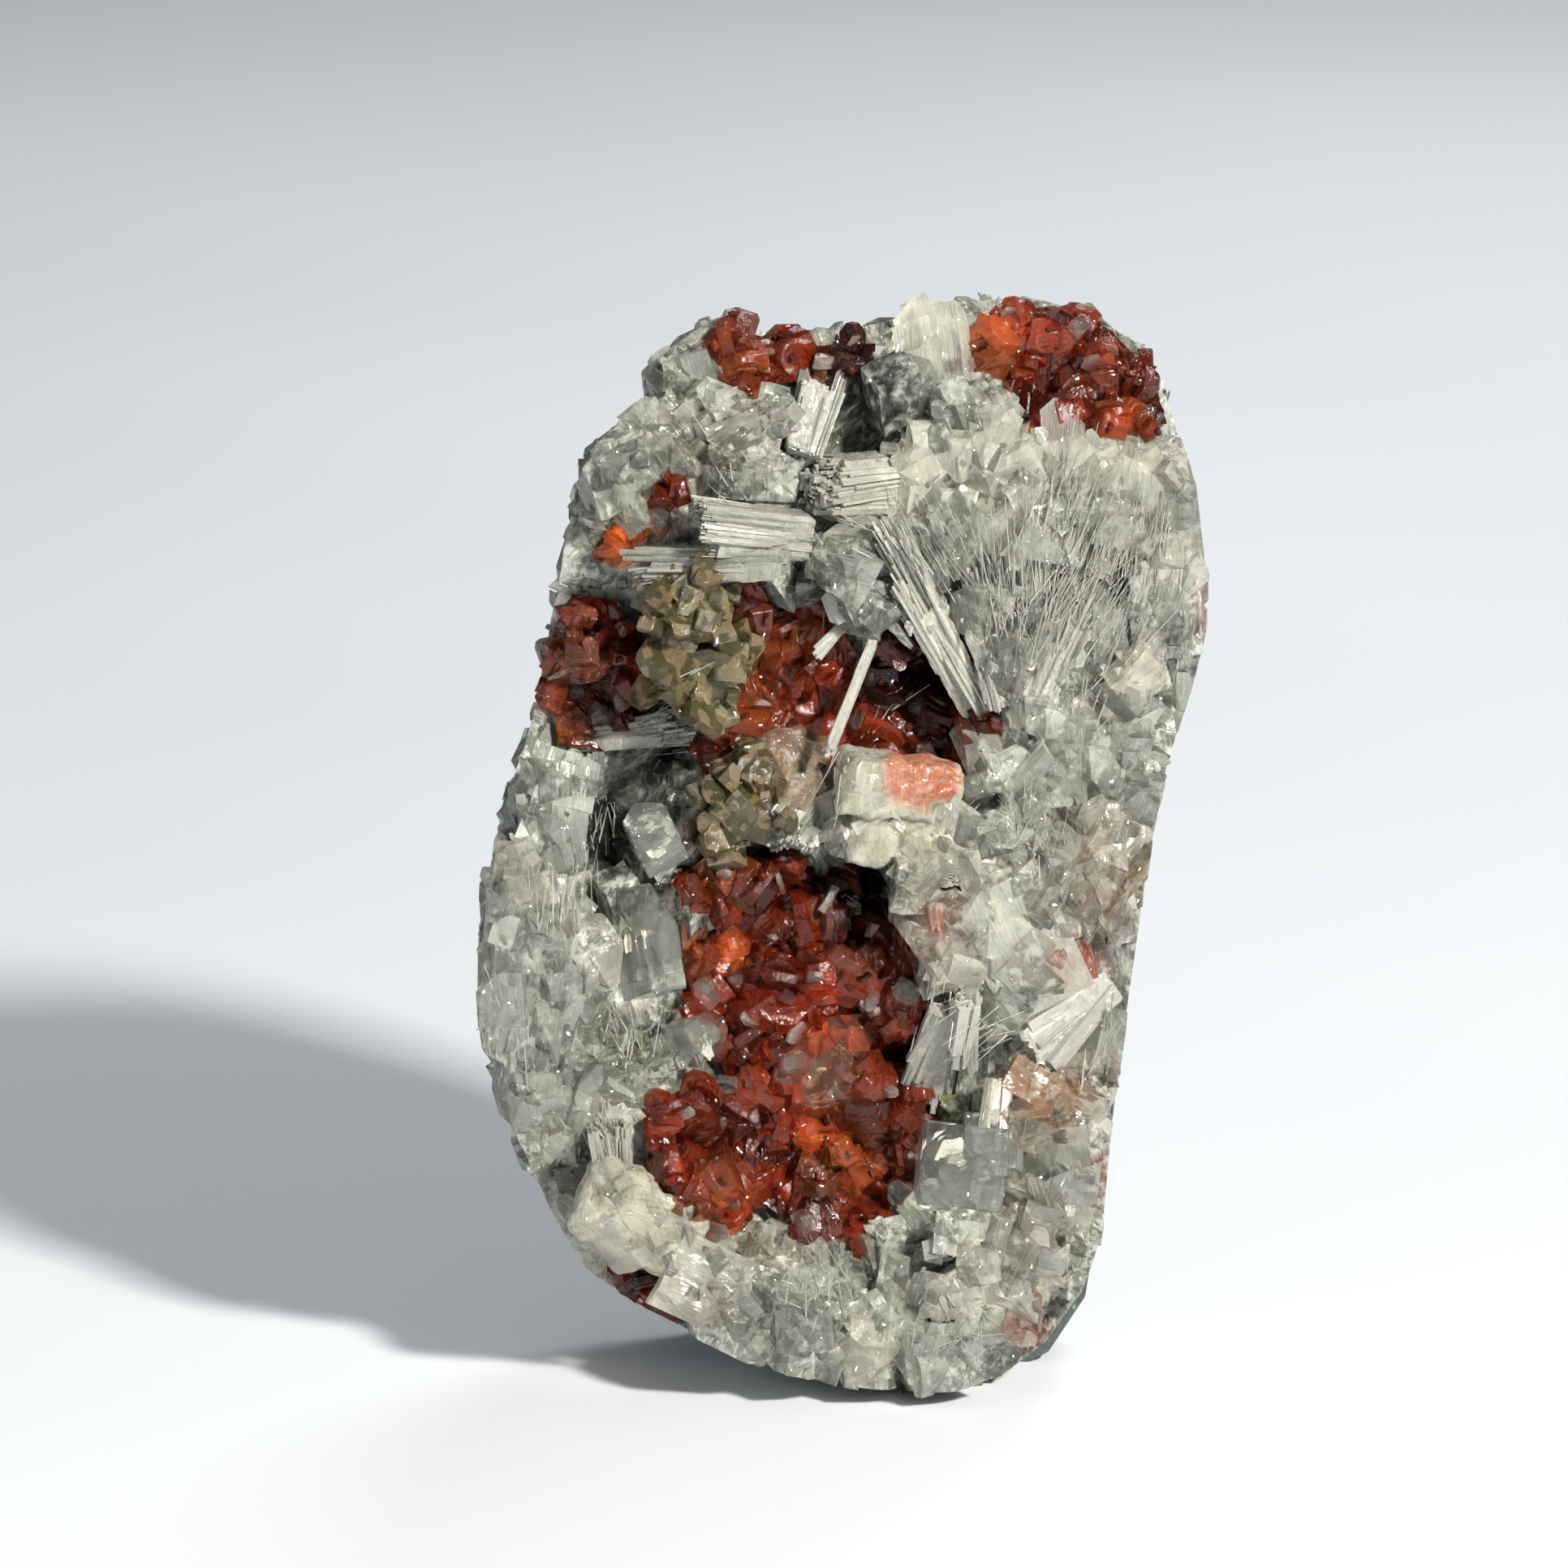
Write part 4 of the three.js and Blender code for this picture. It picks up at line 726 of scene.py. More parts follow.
def mesh_object(name, corners, loops, totals, grain, tint):
    """A mesh object from arrays, with its grain, tint and facet attributes."""
    mesh = bpy.data.meshes.new(name)
    mesh.vertices.add(len(corners))
    mesh.vertices.foreach_set("co", (corners * MM).ravel())
    mesh.loops.add(len(loops))
    mesh.loops.foreach_set("vertex_index", loops)
    mesh.polygons.add(len(totals))
    mesh.polygons.foreach_set("loop_start", np.concatenate([[0], np.cumsum(totals)[:-1]]))
    mesh.update(calc_edges=True)
    mesh.validate()
    mesh.shade_flat()
    held = mesh.attributes.new("grain", "FLOAT_VECTOR", "POINT")
    held.data.foreach_set("vector", grain.ravel())
    held = mesh.attributes.new("tint", "FLOAT_COLOR", "POINT")
    held.data.foreach_set("color", tint.ravel())
    facet = mesh.attributes.new("facet", "FLOAT", "FACE")
    facet.data.foreach_set("value", np.random.default_rng(len(corners)).random(len(mesh.polygons)))
    obj = bpy.data.objects.new(name, mesh)
    bpy.context.scene.collection.objects.link(obj)
    return obj


# Directions

def any_side(up, random):
    """A direction square to each up direction, turned at random."""
    return unit(np.cross(up, unit(random.normal(size=up.shape))))


def squared(side, up):
    """The part of each side direction that is square to its up direction."""
    return unit(side - up * np.sum(up * side, axis=1, keepdims=True))


def shared_directions(points, apart, random):
    """Directions on the picture that neighbours share, opening outwards from the middle of each
    growth, and bent along the grain of their place."""
    heart = points[thinned(points, apart)]
    turn = np.radians(90 + random.normal(size=(len(heart), 1)) * GROWTH_STRAYS)
    axis = np.cos(turn) * ACROSS + np.sin(turn) * PICTURE_UP
    axis = axis + random.normal(size=(len(heart), 1)) * 0.4 * SIGHT
    tree = KDTree(len(heart))
    for i, place in enumerate(heart):
        tree.insert(place, i)
    tree.balance()
    ragged = points + random.normal(size=points.shape) * apart * 0.15
    own = np.array([tree.find(place)[1] for place in ragged])
    along = unit(axis[own] + (points - heart[own]) / apart * 0.5)
    place = picture_place(points)
    for *reach, angle, strength in GRAINS:
        share = within(place, *reach, strength)[:, None]
        turn = np.radians(angle + random.normal(size=len(points)) * GRAIN_STRAYS)[:, None]
        grain = np.cos(turn) * ACROSS + np.sin(turn) * PICTURE_UP
        along = along * (1 - share) + grain * share
    return unit(along)


# Colours of each mineral at each place

def tiled(tone, count):
    return np.tile(tone, (count, 1))


def stained(tone, stain):
    """One tone with much of another in it."""
    return mix(tone[None], stain, np.array([0.6]))[0]


def apophyllite_tint(points, random, lighter=0.0):
    """The crust's colour: pale green-grey, with milky, mossy and rusty patches, and patches of painted
    shade.
    """
    count = len(points)
    tone = 0.5 + lighter + 0.45 * ripple(points, 12, 3) + 0.25 * ripple(points, 5, 4)
    tone = np.clip(tone + random.normal(size=count) * 0.2, 0, 1)
    colour = mix(tiled(PALE_DEEP, count), PALE_MID, tone * 2)
    colour = mix(colour, PALE_LIGHT, tone * 2 - 1)
    ragged = 1 + random.normal(size=count) * 0.3
    milk = mix(tiled(MILK_TONE, count), CREAM_TONE, random.uniform(0, 0.7, count))
    moss = mix(tiled(MOSS_TONE, count), MOSS_LIGHT, random.uniform(0, 1, count) ** 2)
    # The last of these paints shade into the hollows; the others are the crust's own colours.
    for patches, stain, strength in (
        (COOL, COOL_TONE, 0.5), (MILKY + POLISHED, milk, 1.0), (MOSSY, moss, 0.95),
        (RUSTY, RUST_TONE, 0.8), (BLUSH, RED_TONE, 0.8), (PAINTED_SHADE_PATCHES, SHADE_TONE, 1.1),
    ):
        colour = mix(colour, stain, field(points, patches) * ragged * strength)
    return colour


def heulandite_tints(points, random):
    """Root and tip colours of heulandite blades. The roots are painted much darker, as shade deep among the
    blades.
    """
    count = len(points)
    ragged = 1 + random.normal(size=count) * 0.35
    tone = 0.5 + 0.5 * ripple(points, 9, 9) + random.normal(size=count) * 0.25
    colour = mix(tiled(RED_DEEP, count), RED_TONE, tone)
    colour = mix(colour, ORANGE_TONE, field(points, ORANGE) * ragged * 0.85)
    colour = mix(colour, WINE_TONE, field(points, WINE) * ragged * 0.9)
    veil = np.clip(field(points, PINK) * 0.55 + random.normal(size=count) * 0.18 - 0.12, 0, 0.8)
    # Painted shade: the root colour is the blade's colour darkened to 0.4
    return colour * 0.4, mix(colour, PINK_TONE, veil)


# Shader groups and materials

def socket(group, name, kind, direction, value=None):
    made = group.interface.new_socket(name=name, in_out=direction, socket_type="NodeSocket" + kind)
    if value is not None:
        made.default_value = value


class Wiring:
    """Short words for adding and joining shader nodes."""

    def __init__(self, tree):
        self.tree = tree

    def node(self, kind, **values):
        made = self.tree.nodes.new(kind)
        for key, value in values.items():
            setattr(made, key, value)
        return made

    def join(self, source, target):
        self.tree.links.new(source, target)

    def feed(self, target, value):
        if isinstance(value, bpy.types.NodeSocket):
            self.join(value, target)
        else:
            target.default_value = value

    def noise(self, vector, scale, detail, rough):
        made = self.node("ShaderNodeTexNoise")
        self.join(vector, made.inputs["Vector"])
        self.feed(made.inputs["Scale"], scale)
        made.inputs["Detail"].default_value = detail
        made.inputs["Roughness"].default_value = rough
        return made.outputs["Fac"]

    def stretched(self, vector, scale):
        made = self.node("ShaderNodeMapping")
        self.join(vector, made.inputs["Vector"])
        made.inputs["Scale"].default_value = scale
        return made.outputs["Vector"]

    def band(self, value, low, high, out_low=0.0, out_high=1.0):
        made = self.node("ShaderNodeMapRange", interpolation_type="SMOOTHSTEP")
        self.join(value, made.inputs["Value"])
        ends = {"From Min": low, "From Max": high, "To Min": out_low, "To Max": out_high}
        for name, number in ends.items():
            self.feed(made.inputs[name], number)
        return made.outputs["Result"]

    def math(self, operation, first, second):
        made = self.node("ShaderNodeMath", operation=operation)
        self.feed(made.inputs[0], first)
        self.feed(made.inputs[1], second)
        return made.outputs[0]

    def vector(self, operation, first, second):
        made = self.node("ShaderNodeVectorMath", operation=operation)
        self.feed(made.inputs[0], first)
        self.feed(made.inputs[1], second)
        return made.outputs["Vector"]

    def blend(self, share, first, second):
        made = self.node("ShaderNodeMix", data_type="RGBA")
        self.feed(made.inputs["Factor"], share)
        self.feed(made.inputs["A"], first)
        self.feed(made.inputs["B"], second)
        return made.outputs["Result"]


def colour4(value):
    return (*[float(v) for v in value], 1.0)


def veil_group():
    """Milky veils, streaks along each crystal, specks and small cleaved steps: a colour, a roughness
    and a height."""
    group = bpy.data.node_groups.new("mineral_veils", "ShaderNodeTree")
    for name, kind, value in (
        ("Grain", "Vector", None), ("Place", "Vector", None), ("Tint", "Color", None),
        ("Facet", "Float", 0.5), ("Veil Colour", "Color", (0.8, 0.8, 0.75, 1)),
        ("Deep Colour", "Color", (0.05, 0.06, 0.05, 1)), ("Streaks", "Float", 0.5),
        ("Veils", "Float", 0.5), ("Specks", "Float", 0.1), ("Smooth", "Float", 0.08),
        ("Rough", "Float", 0.45), ("Steps", "Vector", (1.2, 1.2, 0.6)), ("Speck Scale", "Float", 1500.0),
        ("Speck Cut", "Float", 0.7), ("Lit From", "Float", 0.15),
        ("Speck Colour", "Color", (0.05, 0.06, 0.05, 1)),
    ):
        socket(group, name, kind, "INPUT", value)
    for name, kind in (("Color", "Color"), ("Roughness", "Float"), ("Height", "Float")):
        socket(group, name, kind, "OUTPUT")
    w = Wiring(group)
    source = w.node("NodeGroupInput").outputs
    sink = w.node("NodeGroupOutput").inputs
    streaks = w.noise(w.stretched(source["Grain"], (2.6, 2.6, 0.28)), 1.0, 2.0, 0.7)
    clouds = w.noise(source["Grain"], 0.55, 2.0, 0.65)
    specks = w.noise(source["Place"], source["Speck Scale"], 1.0, 0.6)
    veil = w.math("MULTIPLY", w.band(clouds, 0.48, 0.68), source["Veils"])
    streak = w.math("MULTIPLY", w.band(streaks, 0.5, 0.68), source["Streaks"])
    deep = w.math("MULTIPLY", w.band(streaks, 0.46, 0.3), source["Streaks"])
    pearly = w.math("MULTIPLY", source["Veils"], 0.6)
    pearly = w.math("MULTIPLY", w.band(source["Facet"], 0.72, 0.8), pearly)
    lightness = w.node("ShaderNodeRGBToBW")
    w.join(source["Tint"], lightness.inputs[0])
    white = w.math("MAXIMUM", w.math("MAXIMUM", veil, streak), pearly)
    white = w.math("MULTIPLY", white, w.band(lightness.outputs[0], 0.0, source["Lit From"]))
    colour = w.blend(w.math("MULTIPLY", deep, 0.6), source["Tint"], source["Deep Colour"])
    colour = w.blend(white, colour, source["Veil Colour"])
    speck_edge = w.math("ADD", source["Speck Cut"], 0.05)
    speck = w.math("MULTIPLY", w.band(specks, source["Speck Cut"], speck_edge), source["Specks"])
    colour = w.blend(speck, colour, source["Speck Colour"])
    w.join(colour, sink["Color"])
    steps = w.vector("MULTIPLY", source["Grain"], source["Steps"])
    cells = w.node("ShaderNodeTexVoronoi")
    cells.inputs["Scale"].default_value = 1.0
    cells.inputs["Randomness"].default_value = 1.0
    w.join(steps, cells.inputs["Vector"])
    lean = w.vector("SUBTRACT", cells.outputs["Color"], (0.5, 0.5, 0.5))
    apart = w.vector("SUBTRACT", steps, cells.outputs["Position"])
    slope = w.node("ShaderNodeVectorMath", operation="DOT_PRODUCT")
    w.join(lean, slope.inputs[0])
    w.join(apart, slope.inputs[1])
    rough = w.band(clouds, 0.42, 0.62, source["Smooth"], source["Rough"])
    w.join(rough, sink["Roughness"])
    w.join(w.math("ADD", slope.outputs["Value"], w.math("MULTIPLY", streaks, 0.35)), sink["Height"])
    return group


def new_material(name):
    material = bpy.data.materials.new(name)
    material.use_nodes = True
    material.node_tree.nodes.clear()
    w = Wiring(material.node_tree)
    shader = w.node("ShaderNodeBsdfPrincipled")
    output = w.node("ShaderNodeOutputMaterial")
    w.join(shader.outputs["BSDF"], output.inputs["Surface"])
    return material, w, shader, output


def bumped(w, shader, height, depth):
    relief = w.node("ShaderNodeBump")
    relief.inputs["Strength"].default_value = 1.0
    relief.inputs["Distance"].default_value = depth * MM
    w.join(height, relief.inputs["Height"])
    w.join(relief.outputs["Normal"], shader.inputs["Normal"])


def mineral(name, veils, look, ior, plain, density=0.0):
    """A mineral whose tint, veils and streaks come from its crystals. look goes to the veils, and
    plain to the shader."""
    material, w, shader, output = new_material(name)
    group = w.node("ShaderNodeGroup", node_tree=veils)
    w.join(w.node("ShaderNodeAttribute", attribute_name="grain").outputs["Vector"], group.inputs["Grain"])
    w.join(w.node("ShaderNodeAttribute", attribute_name="tint").outputs["Color"], group.inputs["Tint"])
    w.join(w.node("ShaderNodeAttribute", attribute_name="facet").outputs["Fac"], group.inputs["Facet"])
    w.join(w.node("ShaderNodeTexCoord").outputs["Object"], group.inputs["Place"])
    for key, value in look.items():
        if key != "Relief":
            group.inputs[key].default_value = colour4(value) if key.endswith("Colour") else value
    w.join(group.outputs["Color"], shader.inputs["Base Color"])
    w.join(group.outputs["Roughness"], shader.inputs["Roughness"])
    bumped(w, shader, group.outputs["Height"], look["Relief"])
    for key, value in (plain | {"IOR": ior}).items():
        shader.inputs[key].default_value = value
    if density:
        volume = w.node("ShaderNodeVolumeAbsorption")
        volume.inputs["Color"].default_value = colour4(ABSORBED)
        volume.inputs["Density"].default_value = density
        w.join(volume.outputs["Volume"], output.inputs["Volume"])
    return material


def basalt_material():
    """Dark stone with a fine grain and pale filled pores."""
    material, w, shader, _ = new_material("basalt")
    place = w.node("ShaderNodeTexCoord").outputs["Object"]
    broad = w.noise(place, 60.0, 5.0, 0.6)
    fine = w.noise(place, 900.0, 3.0, 0.7)
    pores = w.noise(place, 420.0, 2.0, 0.5)
    colour = w.blend(w.band(broad, 0.35, 0.65), *(colour4(tone) for tone in STONE_TONES))
    colour = w.blend(w.math("MULTIPLY", w.band(fine, 0.55, 0.7), 0.5), colour, colour4(STONE_GRAIN))
    colour = w.blend(w.band(pores, 0.66, 0.72), colour, colour4(STONE_PORES))
    w.join(colour, shader.inputs["Base Color"])
    w.join(w.band(fine, 0.3, 0.7, 0.55, 0.95), shader.inputs["Roughness"])
    bumped(w, shader, w.math("ADD", fine, w.math("MULTIPLY", pores, -0.8)), 0.25)
    return material


def floor_material():
    material, w, shader, _ = new_material("pale_floor")
    place = w.node("ShaderNodeTexCoord").outputs["Object"]
    shade = w.band(w.noise(place, 3.0, 2.0, 0.55), 0.3, 0.7)
    w.join(w.blend(shade, *(colour4(tone) for tone in FLOOR_TONES)), shader.inputs["Base Color"])
    shader.inputs["Roughness"].default_value = 0.85
    return material


def finishes():
    """Each mineral's material."""
    veils = veil_group()
    pale = {
        "Veil Colour": PALE_LIGHT, "Deep Colour": PALE_DEEP * 0.6, "Streaks": 0.3, "Veils": 0.55,
        "Specks": 0.15, "Smooth": 0.03, "Rough": 0.22, "Steps": (0.9, 0.9, 0.45), "Relief": 0.5,
        "Speck Scale": 1500.0, "Speck Cut": 0.7, "Speck Colour": PALE_DEEP * 0.6, "Lit From": 0.15,
    }
    clear = pale | {
        "Deep Colour": PALE_MID, "Streaks": 0.08, "Veils": 0.1, "Specks": 0.0, "Smooth": 0.01,
        "Rough": 0.06, "Relief": 0.1,
    }
    green = pale | {
        "Veil Colour": TAN_TONE, "Deep Colour": MOSS_TONE * 0.5, "Streaks": 0.5, "Specks": 0.7,
        "Speck Scale": 420.0, "Speck Cut": 0.48, "Speck Colour": MOSS_TONE,
    }
    red = pale | {
        "Veil Colour": PINK_TONE, "Deep Colour": RED_DEEP * 0.6, "Streaks": 0.45, "Veils": 0.22,
        "Specks": 0.1, "Smooth": 0.05, "Rough": 0.25, "Steps": (0.5, 0.5, 0.3), "Relief": 0.4,
        "Speck Colour": RED_DEEP * 0.6, "Lit From": 0.06,
    }
    white = pale | {
        "Veil Colour": WHITE_TONE, "Deep Colour": FIBRE_TONE * 0.6, "Streaks": 0.7, "Veils": 0.3,
        "Specks": 0.02, "Smooth": 0.2, "Rough": 0.5, "Relief": 0.16,
    }
    massive = white | {
        "Veil Colour": MILK_TONE, "Streaks": 0.25, "Veils": 0.25, "Smooth": 0.1, "Steps": (0.3, 0.3, 0.3),
        "Relief": 0.3,
    }
    cloudy = {"Transmission Weight": 0.1, "Subsurface Weight": 0.6, "Subsurface Scale": 1.6 * MM}
    kinds = {
        "massive_scolecite": (massive, SCOLECITE_IOR, cloudy | {"Subsurface Radius": (1.0, 1.0, 0.9)}),
        "white_scolecite": (white, SCOLECITE_IOR, {"Transmission Weight": 0.3}),
        "pale_apophyllite": (pale, APOPHYLLITE_IOR, {"Transmission Weight": 0.62}),
        "solid_apophyllite": (pale, APOPHYLLITE_IOR, cloudy | {"Subsurface Radius": (1.0, 1.05, 0.95)}),
        "clear_apophyllite": (clear, APOPHYLLITE_IOR, {"Transmission Weight": 0.96}, ABSORBS),
        "green_apophyllite": (green, APOPHYLLITE_IOR, {"Transmission Weight": 0.55}),
        "red_heulandite": (red, HEULANDITE_IOR, {"Transmission Weight": 0.68, "Specular IOR Level": 0.2}),
        "solid_heulandite": (red, HEULANDITE_IOR, {"Transmission Weight": 0.1}),
    }
    made = {name: mineral(name, veils, *kind) for name, kind in kinds.items()}
    made["basalt"] = basalt_material()
    return made


# Pieces

class Bench:
    """What every growing function works with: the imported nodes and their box, one random source, the
    finishes, and the surface that crystals land on."""

    def __init__(self, nodes, low, high):
        self.nodes, self.low, self.high = nodes, low, high
        self.random = np.random.default_rng(17)
        self.materials = finishes()
        self.surface = Surface()
        for name, node in nodes.items():
            self.surface.add(name, *triangles_of(node))
        self.solids = self.surface.search()
        self.solid_labels = list(self.surface.labels)

    def crop(self):
        return Crop(self.low, self.high)

    def finish(self, name, arrays, slot, *replaced, finish=None):
        """Makes a finished piece of arrays. It takes its slot's material, or another finish."""
        made = mesh_object(name, *arrays)
        made.data.materials.append(self.materials[finish or slot])
        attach(made, "root")
        if replaced:
            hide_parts(*replaced)
        return made

    def ground_for_more(self, label, arrays):
        """Lets later crystals land on this piece too."""
        corners, loops, totals = arrays[:3]
        self.surface.add(label, corners, fanned(loops, totals))

    def landing(self, directions, spacing, wanted):
        """Points and normals on the wanted pieces, about this far apart, seen from any direction."""
        found = [shower(self.surface, d, spacing, self.random, self.low, self.high) for d in directions]
        points = np.concatenate([f[0] for f in found])
        normals = np.concatenate([f[1] for f in found])
        labels = np.concatenate([f[2] for f in found])
        fits = np.array([wanted(label) for label in labels]) & (points[:, 1] < SEAM)
        points, normals = points[fits], normals[fits]
        kept = thinned(points, spacing * 0.8)
        return points[kept], normals[kept]

    def seen_at(self, across, height):
        """Where the camera's ray through a place on the picture meets the surface."""
        start = PICTURE_ORIGIN + across * ACROSS + height * PICTURE_UP - FAR_OFF * SIGHT
        hit = self.surface.search().ray_cast(Vector(start), Vector(SIGHT))
        return (None, None) if hit[0] is None else (np.array(hit[0][:]), np.array(hit[1][:]))

    def covers_others(self, points):
        """Whether a point hides something else than the crust from the camera."""
        heading = Vector(SIGHT)
        hidden = np.zeros(len(points), bool)
        for i, start in enumerate(points - FAR_OFF * SIGHT):
            hit = self.solids.ray_cast(Vector(start), heading)
            hidden[i] = hit[0] is not None and not on_pale_masses(self.solid_labels[hit[2]])
        return hidden


def off_ground(points, margin):
    """Whether points keep this far from the ground edges."""
    beyond, _, stretch = past_edge(picture_place(points))
    return ~(smoothly_ground(stretch) & (beyond > -margin))


def refined(node, cell, tint_of, push, rounds=0):
    """A closed copy of a solid with fine faces, its edges rounded and each corner pushed along its
    normal."""
    bm = bmesh.new()
    bm.from_mesh(node.data)
    bmesh.ops.remove_doubles(bm, verts=bm.verts[:], dist=1e-6)
    for _ in range(MOST_HALVINGS):
        long_edges = [e for e in bm.edges if e.calc_length() > cell * MM * 1.5]
        if not long_edges:
            break
        bmesh.ops.subdivide_edges(bm, edges=long_edges, cuts=1, use_grid_fill=False)
        bmesh.ops.triangulate(bm, faces=[f for f in bm.faces if len(f.verts) > 3])
    for _ in range(rounds):
        bmesh.ops.smooth_vert(
            bm, verts=bm.verts[:], factor=0.5, use_axis_x=True, use_axis_y=True, use_axis_z=True)
    bm.normal_update()
    bm.verts.ensure_lookup_table()
    bm.verts.index_update()
    corners = np.array([v.co[:] for v in bm.verts]) / MM
    normals = np.array([v.normal[:] for v in bm.verts])
    loops = np.array([v.index for f in bm.faces for v in f.verts])
    totals = np.array([len(f.verts) for f in bm.faces])
    bm.free()
    grain = corners.copy()
    corners = corners + normals * push(corners)[:, None]
    corners[:, 2] = np.maximum(corners[:, 2], 0)
    tint = np.concatenate([tint_of(corners), np.ones((len(corners), 1))], axis=1)
    return corners, loops, totals, grain, tint


def long_box(corners, faces):
    """Middle, axes and size of a prism along its own length, width and thickness, from its faces. The
    first axis points up."""
    a, b, c = (corners[faces[:, i]] for i in range(3))
    area = np.cross(b - a, c - a)
    normal = unit(area)
    weight = np.abs(normal @ area.T).sum(axis=1)
    first = normal[np.argmax(weight)]
    square = np.abs(normal @ first) < 0.1
    second = squared(normal[np.argmax(weight * square)], first[None])[0]
    axes = np.stack([first, second, np.cross(first, second)])
    along = corners @ axes.T
    least, most = along.min(axis=0), along.max(axis=0)
    order = np.argsort(least - most)
    middle, size, axes = (least + most) / 2 @ axes, (most - least)[order], axes[order]
    if axes[0][2] < 0:
        axes = axes * np.array([[-1], [-1], [1]])
    return middle, axes, size


# Growing

def sizes_between(ranges, count, random):
    """Widths, thicknesses and lengths, each picked between its own two ends."""
    return np.stack([random.uniform(*ends, count) for ends in ranges], axis=1)


def base_rock(bench):
    """The crust itself and the basalt, with fine faces."""
    def crust_push(points):
        beyond, _, stretch = past_edge(picture_place(points))
        smooth = smoothly_ground(stretch) & (beyond > -0.8)
        smooth = smooth | (points[:, 1] > SEAM - 1) | (points[:, 2] < 0.4)
        terraces = np.round(3 * ripple(points, 5.0, 21)) / 3
        rough = 0.45 * terraces + 0.14 * ripple(points, 1.4, 22) - 0.15
        return np.where(smooth, -HELD_BACK, rough)

    def basalt_push(points):
        rough = 0.45 * ripple(points, 3.4, 31) + 0.3 * ripple(points, 1.5, 32) - 0.6
        return np.where((points[:, 1] < -3) | (points[:, 2] < 1.2), -HELD_BACK, rough)

    def crust_tint(points):
        # Painted shade: the crust seen between its crystals is darkened
        return apophyllite_tint(points, bench.random) * GROUND_PAINTED_SHADE

    def basalt_tint(points):
        return tiled(SHADE_TONE, len(points))

    crust = refined(bench.nodes["apophyllite_crust"], CRUST_CELL, crust_tint, crust_push)
    bench.finish("crust_ground", crust, "pale_apophyllite", "apophyllite_crust", finish="solid_apophyllite")
    stone = refined(bench.nodes["basalt_matrix"], STONE_CELL, basalt_tint, basalt_push)
    bench.finish("basalt_stone", stone, "basalt", "basalt_matrix")


def on_crust(label):
    return label == "apophyllite_crust" or label.startswith("crust_")


def on_pale_masses(label):
    return on_crust(label) or label in MERGED


def on_red(label):
    return label.startswith("heulandite_")


def crust_layer(bench, name, forms):
    """Crystals of one size all over the crust, lying along it and grown together."""
    random = bench.random
    layer = CRUST_LAYERS[name]
    points, normals = bench.landing(ALL_ROUND, layer["spacing"], on_crust)
    keeps = off_ground(points, layer["margin"]) & (field(points, POLISHED) < 0.4)
    points, normals = points[keeps], normals[keeps]
    if name != "crust_blocks":
        more, more_normals = bench.landing(ALL_ROUND, layer["spacing"], lambda label: label in MERGED)
        some = random.random(len(more)) < OVERGROWN * (1 - 2 * field(more, SALMON))
        points = np.concatenate([points, more[some]])
        normals = np.concatenate([normals, more_normals[some]])
    count = len(points)
    outward = unit(normals * 0.6 - SIGHT * 0.4)
    along = squared(shared_directions(points, layer["apart"], random), outward)
    up = unit(along + outward * random.uniform(*layer["lift"], (count, 1)))
    leaning = outward + random.normal(size=(count, 3)) * layer["tilt"]
    side = unit(np.cross(squared(leaning, up), up))
    scale = np.exp(random.normal(size=(count, 1)) * layer["vary"])
    size = sizes_between((layer["wide"], layer["thick"], layer["long"]), count, random) * scale
    proud = random.uniform(*layer["proud"], (count, 1)) * scale

    def rooted(size):
        return points + outward * (proud - size[:, 1:2] / 2) - up * size[:, 2:] / 2

    def ends_and_flanks(size):
        half_up, half_side = up * size[:, 2:] / 2, side * size[:, :1] * 0.4
        middle = rooted(size) + half_up
        return middle - half_up, middle + half_up, middle - half_side, middle + half_side

    def hides(size):
        return np.any([bench.covers_others(spots) for spots in ends_and_flanks(size)], axis=0)

    size[hides(size)] *= SHRUNK
    roots = rooted(size)
    # Crystals are mostly left out of the patches of painted shade, where the darkened ground shows instead
    reaches = [field(spots, PAINTED_SHADE_PATCHES) for spots in (points, *ends_and_flanks(size))]
    free = ~hides(size) & (random.random(count) > np.max(reaches, axis=0) * BARE_IN_SHADE)
    glassy = random.random((count, 1)) < GLASSY_SHARE
    depth = np.where(glassy, random.uniform(*GLASSY_DEPTHS, (count, 1)), 1)
    # Roots darker than tips: partly the milky tips the crystals have, partly painted shade where they sink
    # into the crust
    tint = apophyllite_tint(points, random, -0.25) * depth
    tip_tint = apophyllite_tint(points, random, 0.15) * (0.3 + 0.7 * depth)
    crop = bench.crop()
    crop.scatter(forms, roots[free], side[free], up[free], size[free], tint[free], tip_tint[free], random)
    arrays = crop.arrays()
    bench.finish(name, arrays, "pale_apophyllite").visible_shadow = False
    bench.ground_for_more(name, arrays)


def heulandite_lump(crop, point, normal, random):
    """A lump of thick blades that open like a fan."""
    count = int(random.integers(*LUMP_BLADES))
    reach = random.uniform(*LUMP_REACH)
    axis = unit(normal * 0.9 - SIGHT * 0.3 + random.normal(size=3) * 0.3)
    page = unit(np.cross(axis, random.normal(size=3)))
    flank = np.cross(page, axis)
    angle = random.uniform(-LUMP_OPENS, LUMP_OPENS, count)
    lean = random.normal(size=count) * (NEAT_LEAN if random.random() < NEAT_LUMPS else LOOSE_LEAN)
    up = unit(np.cos(angle)[:, None] * axis + np.sin(angle)[:, None] * flank + lean[:, None] * page)
    side = squared(np.cross(up, flank) + random.normal(size=(count, 3)) * NEAT_LEAN, up)
    size = reach * sizes_between(BLADE_SHAPE, count, random)
    roots = tiled(point - axis * reach * LUMP_SUNK, count)
    tint, tip_tint = heulandite_tints(roots + up * size[:, 2:] * 0.6, random)
    depth = random.uniform(*LUMP_DEPTHS)
    crop.scatter(BLADES, roots, side, up, size, tint * depth, tip_tint * depth, random)


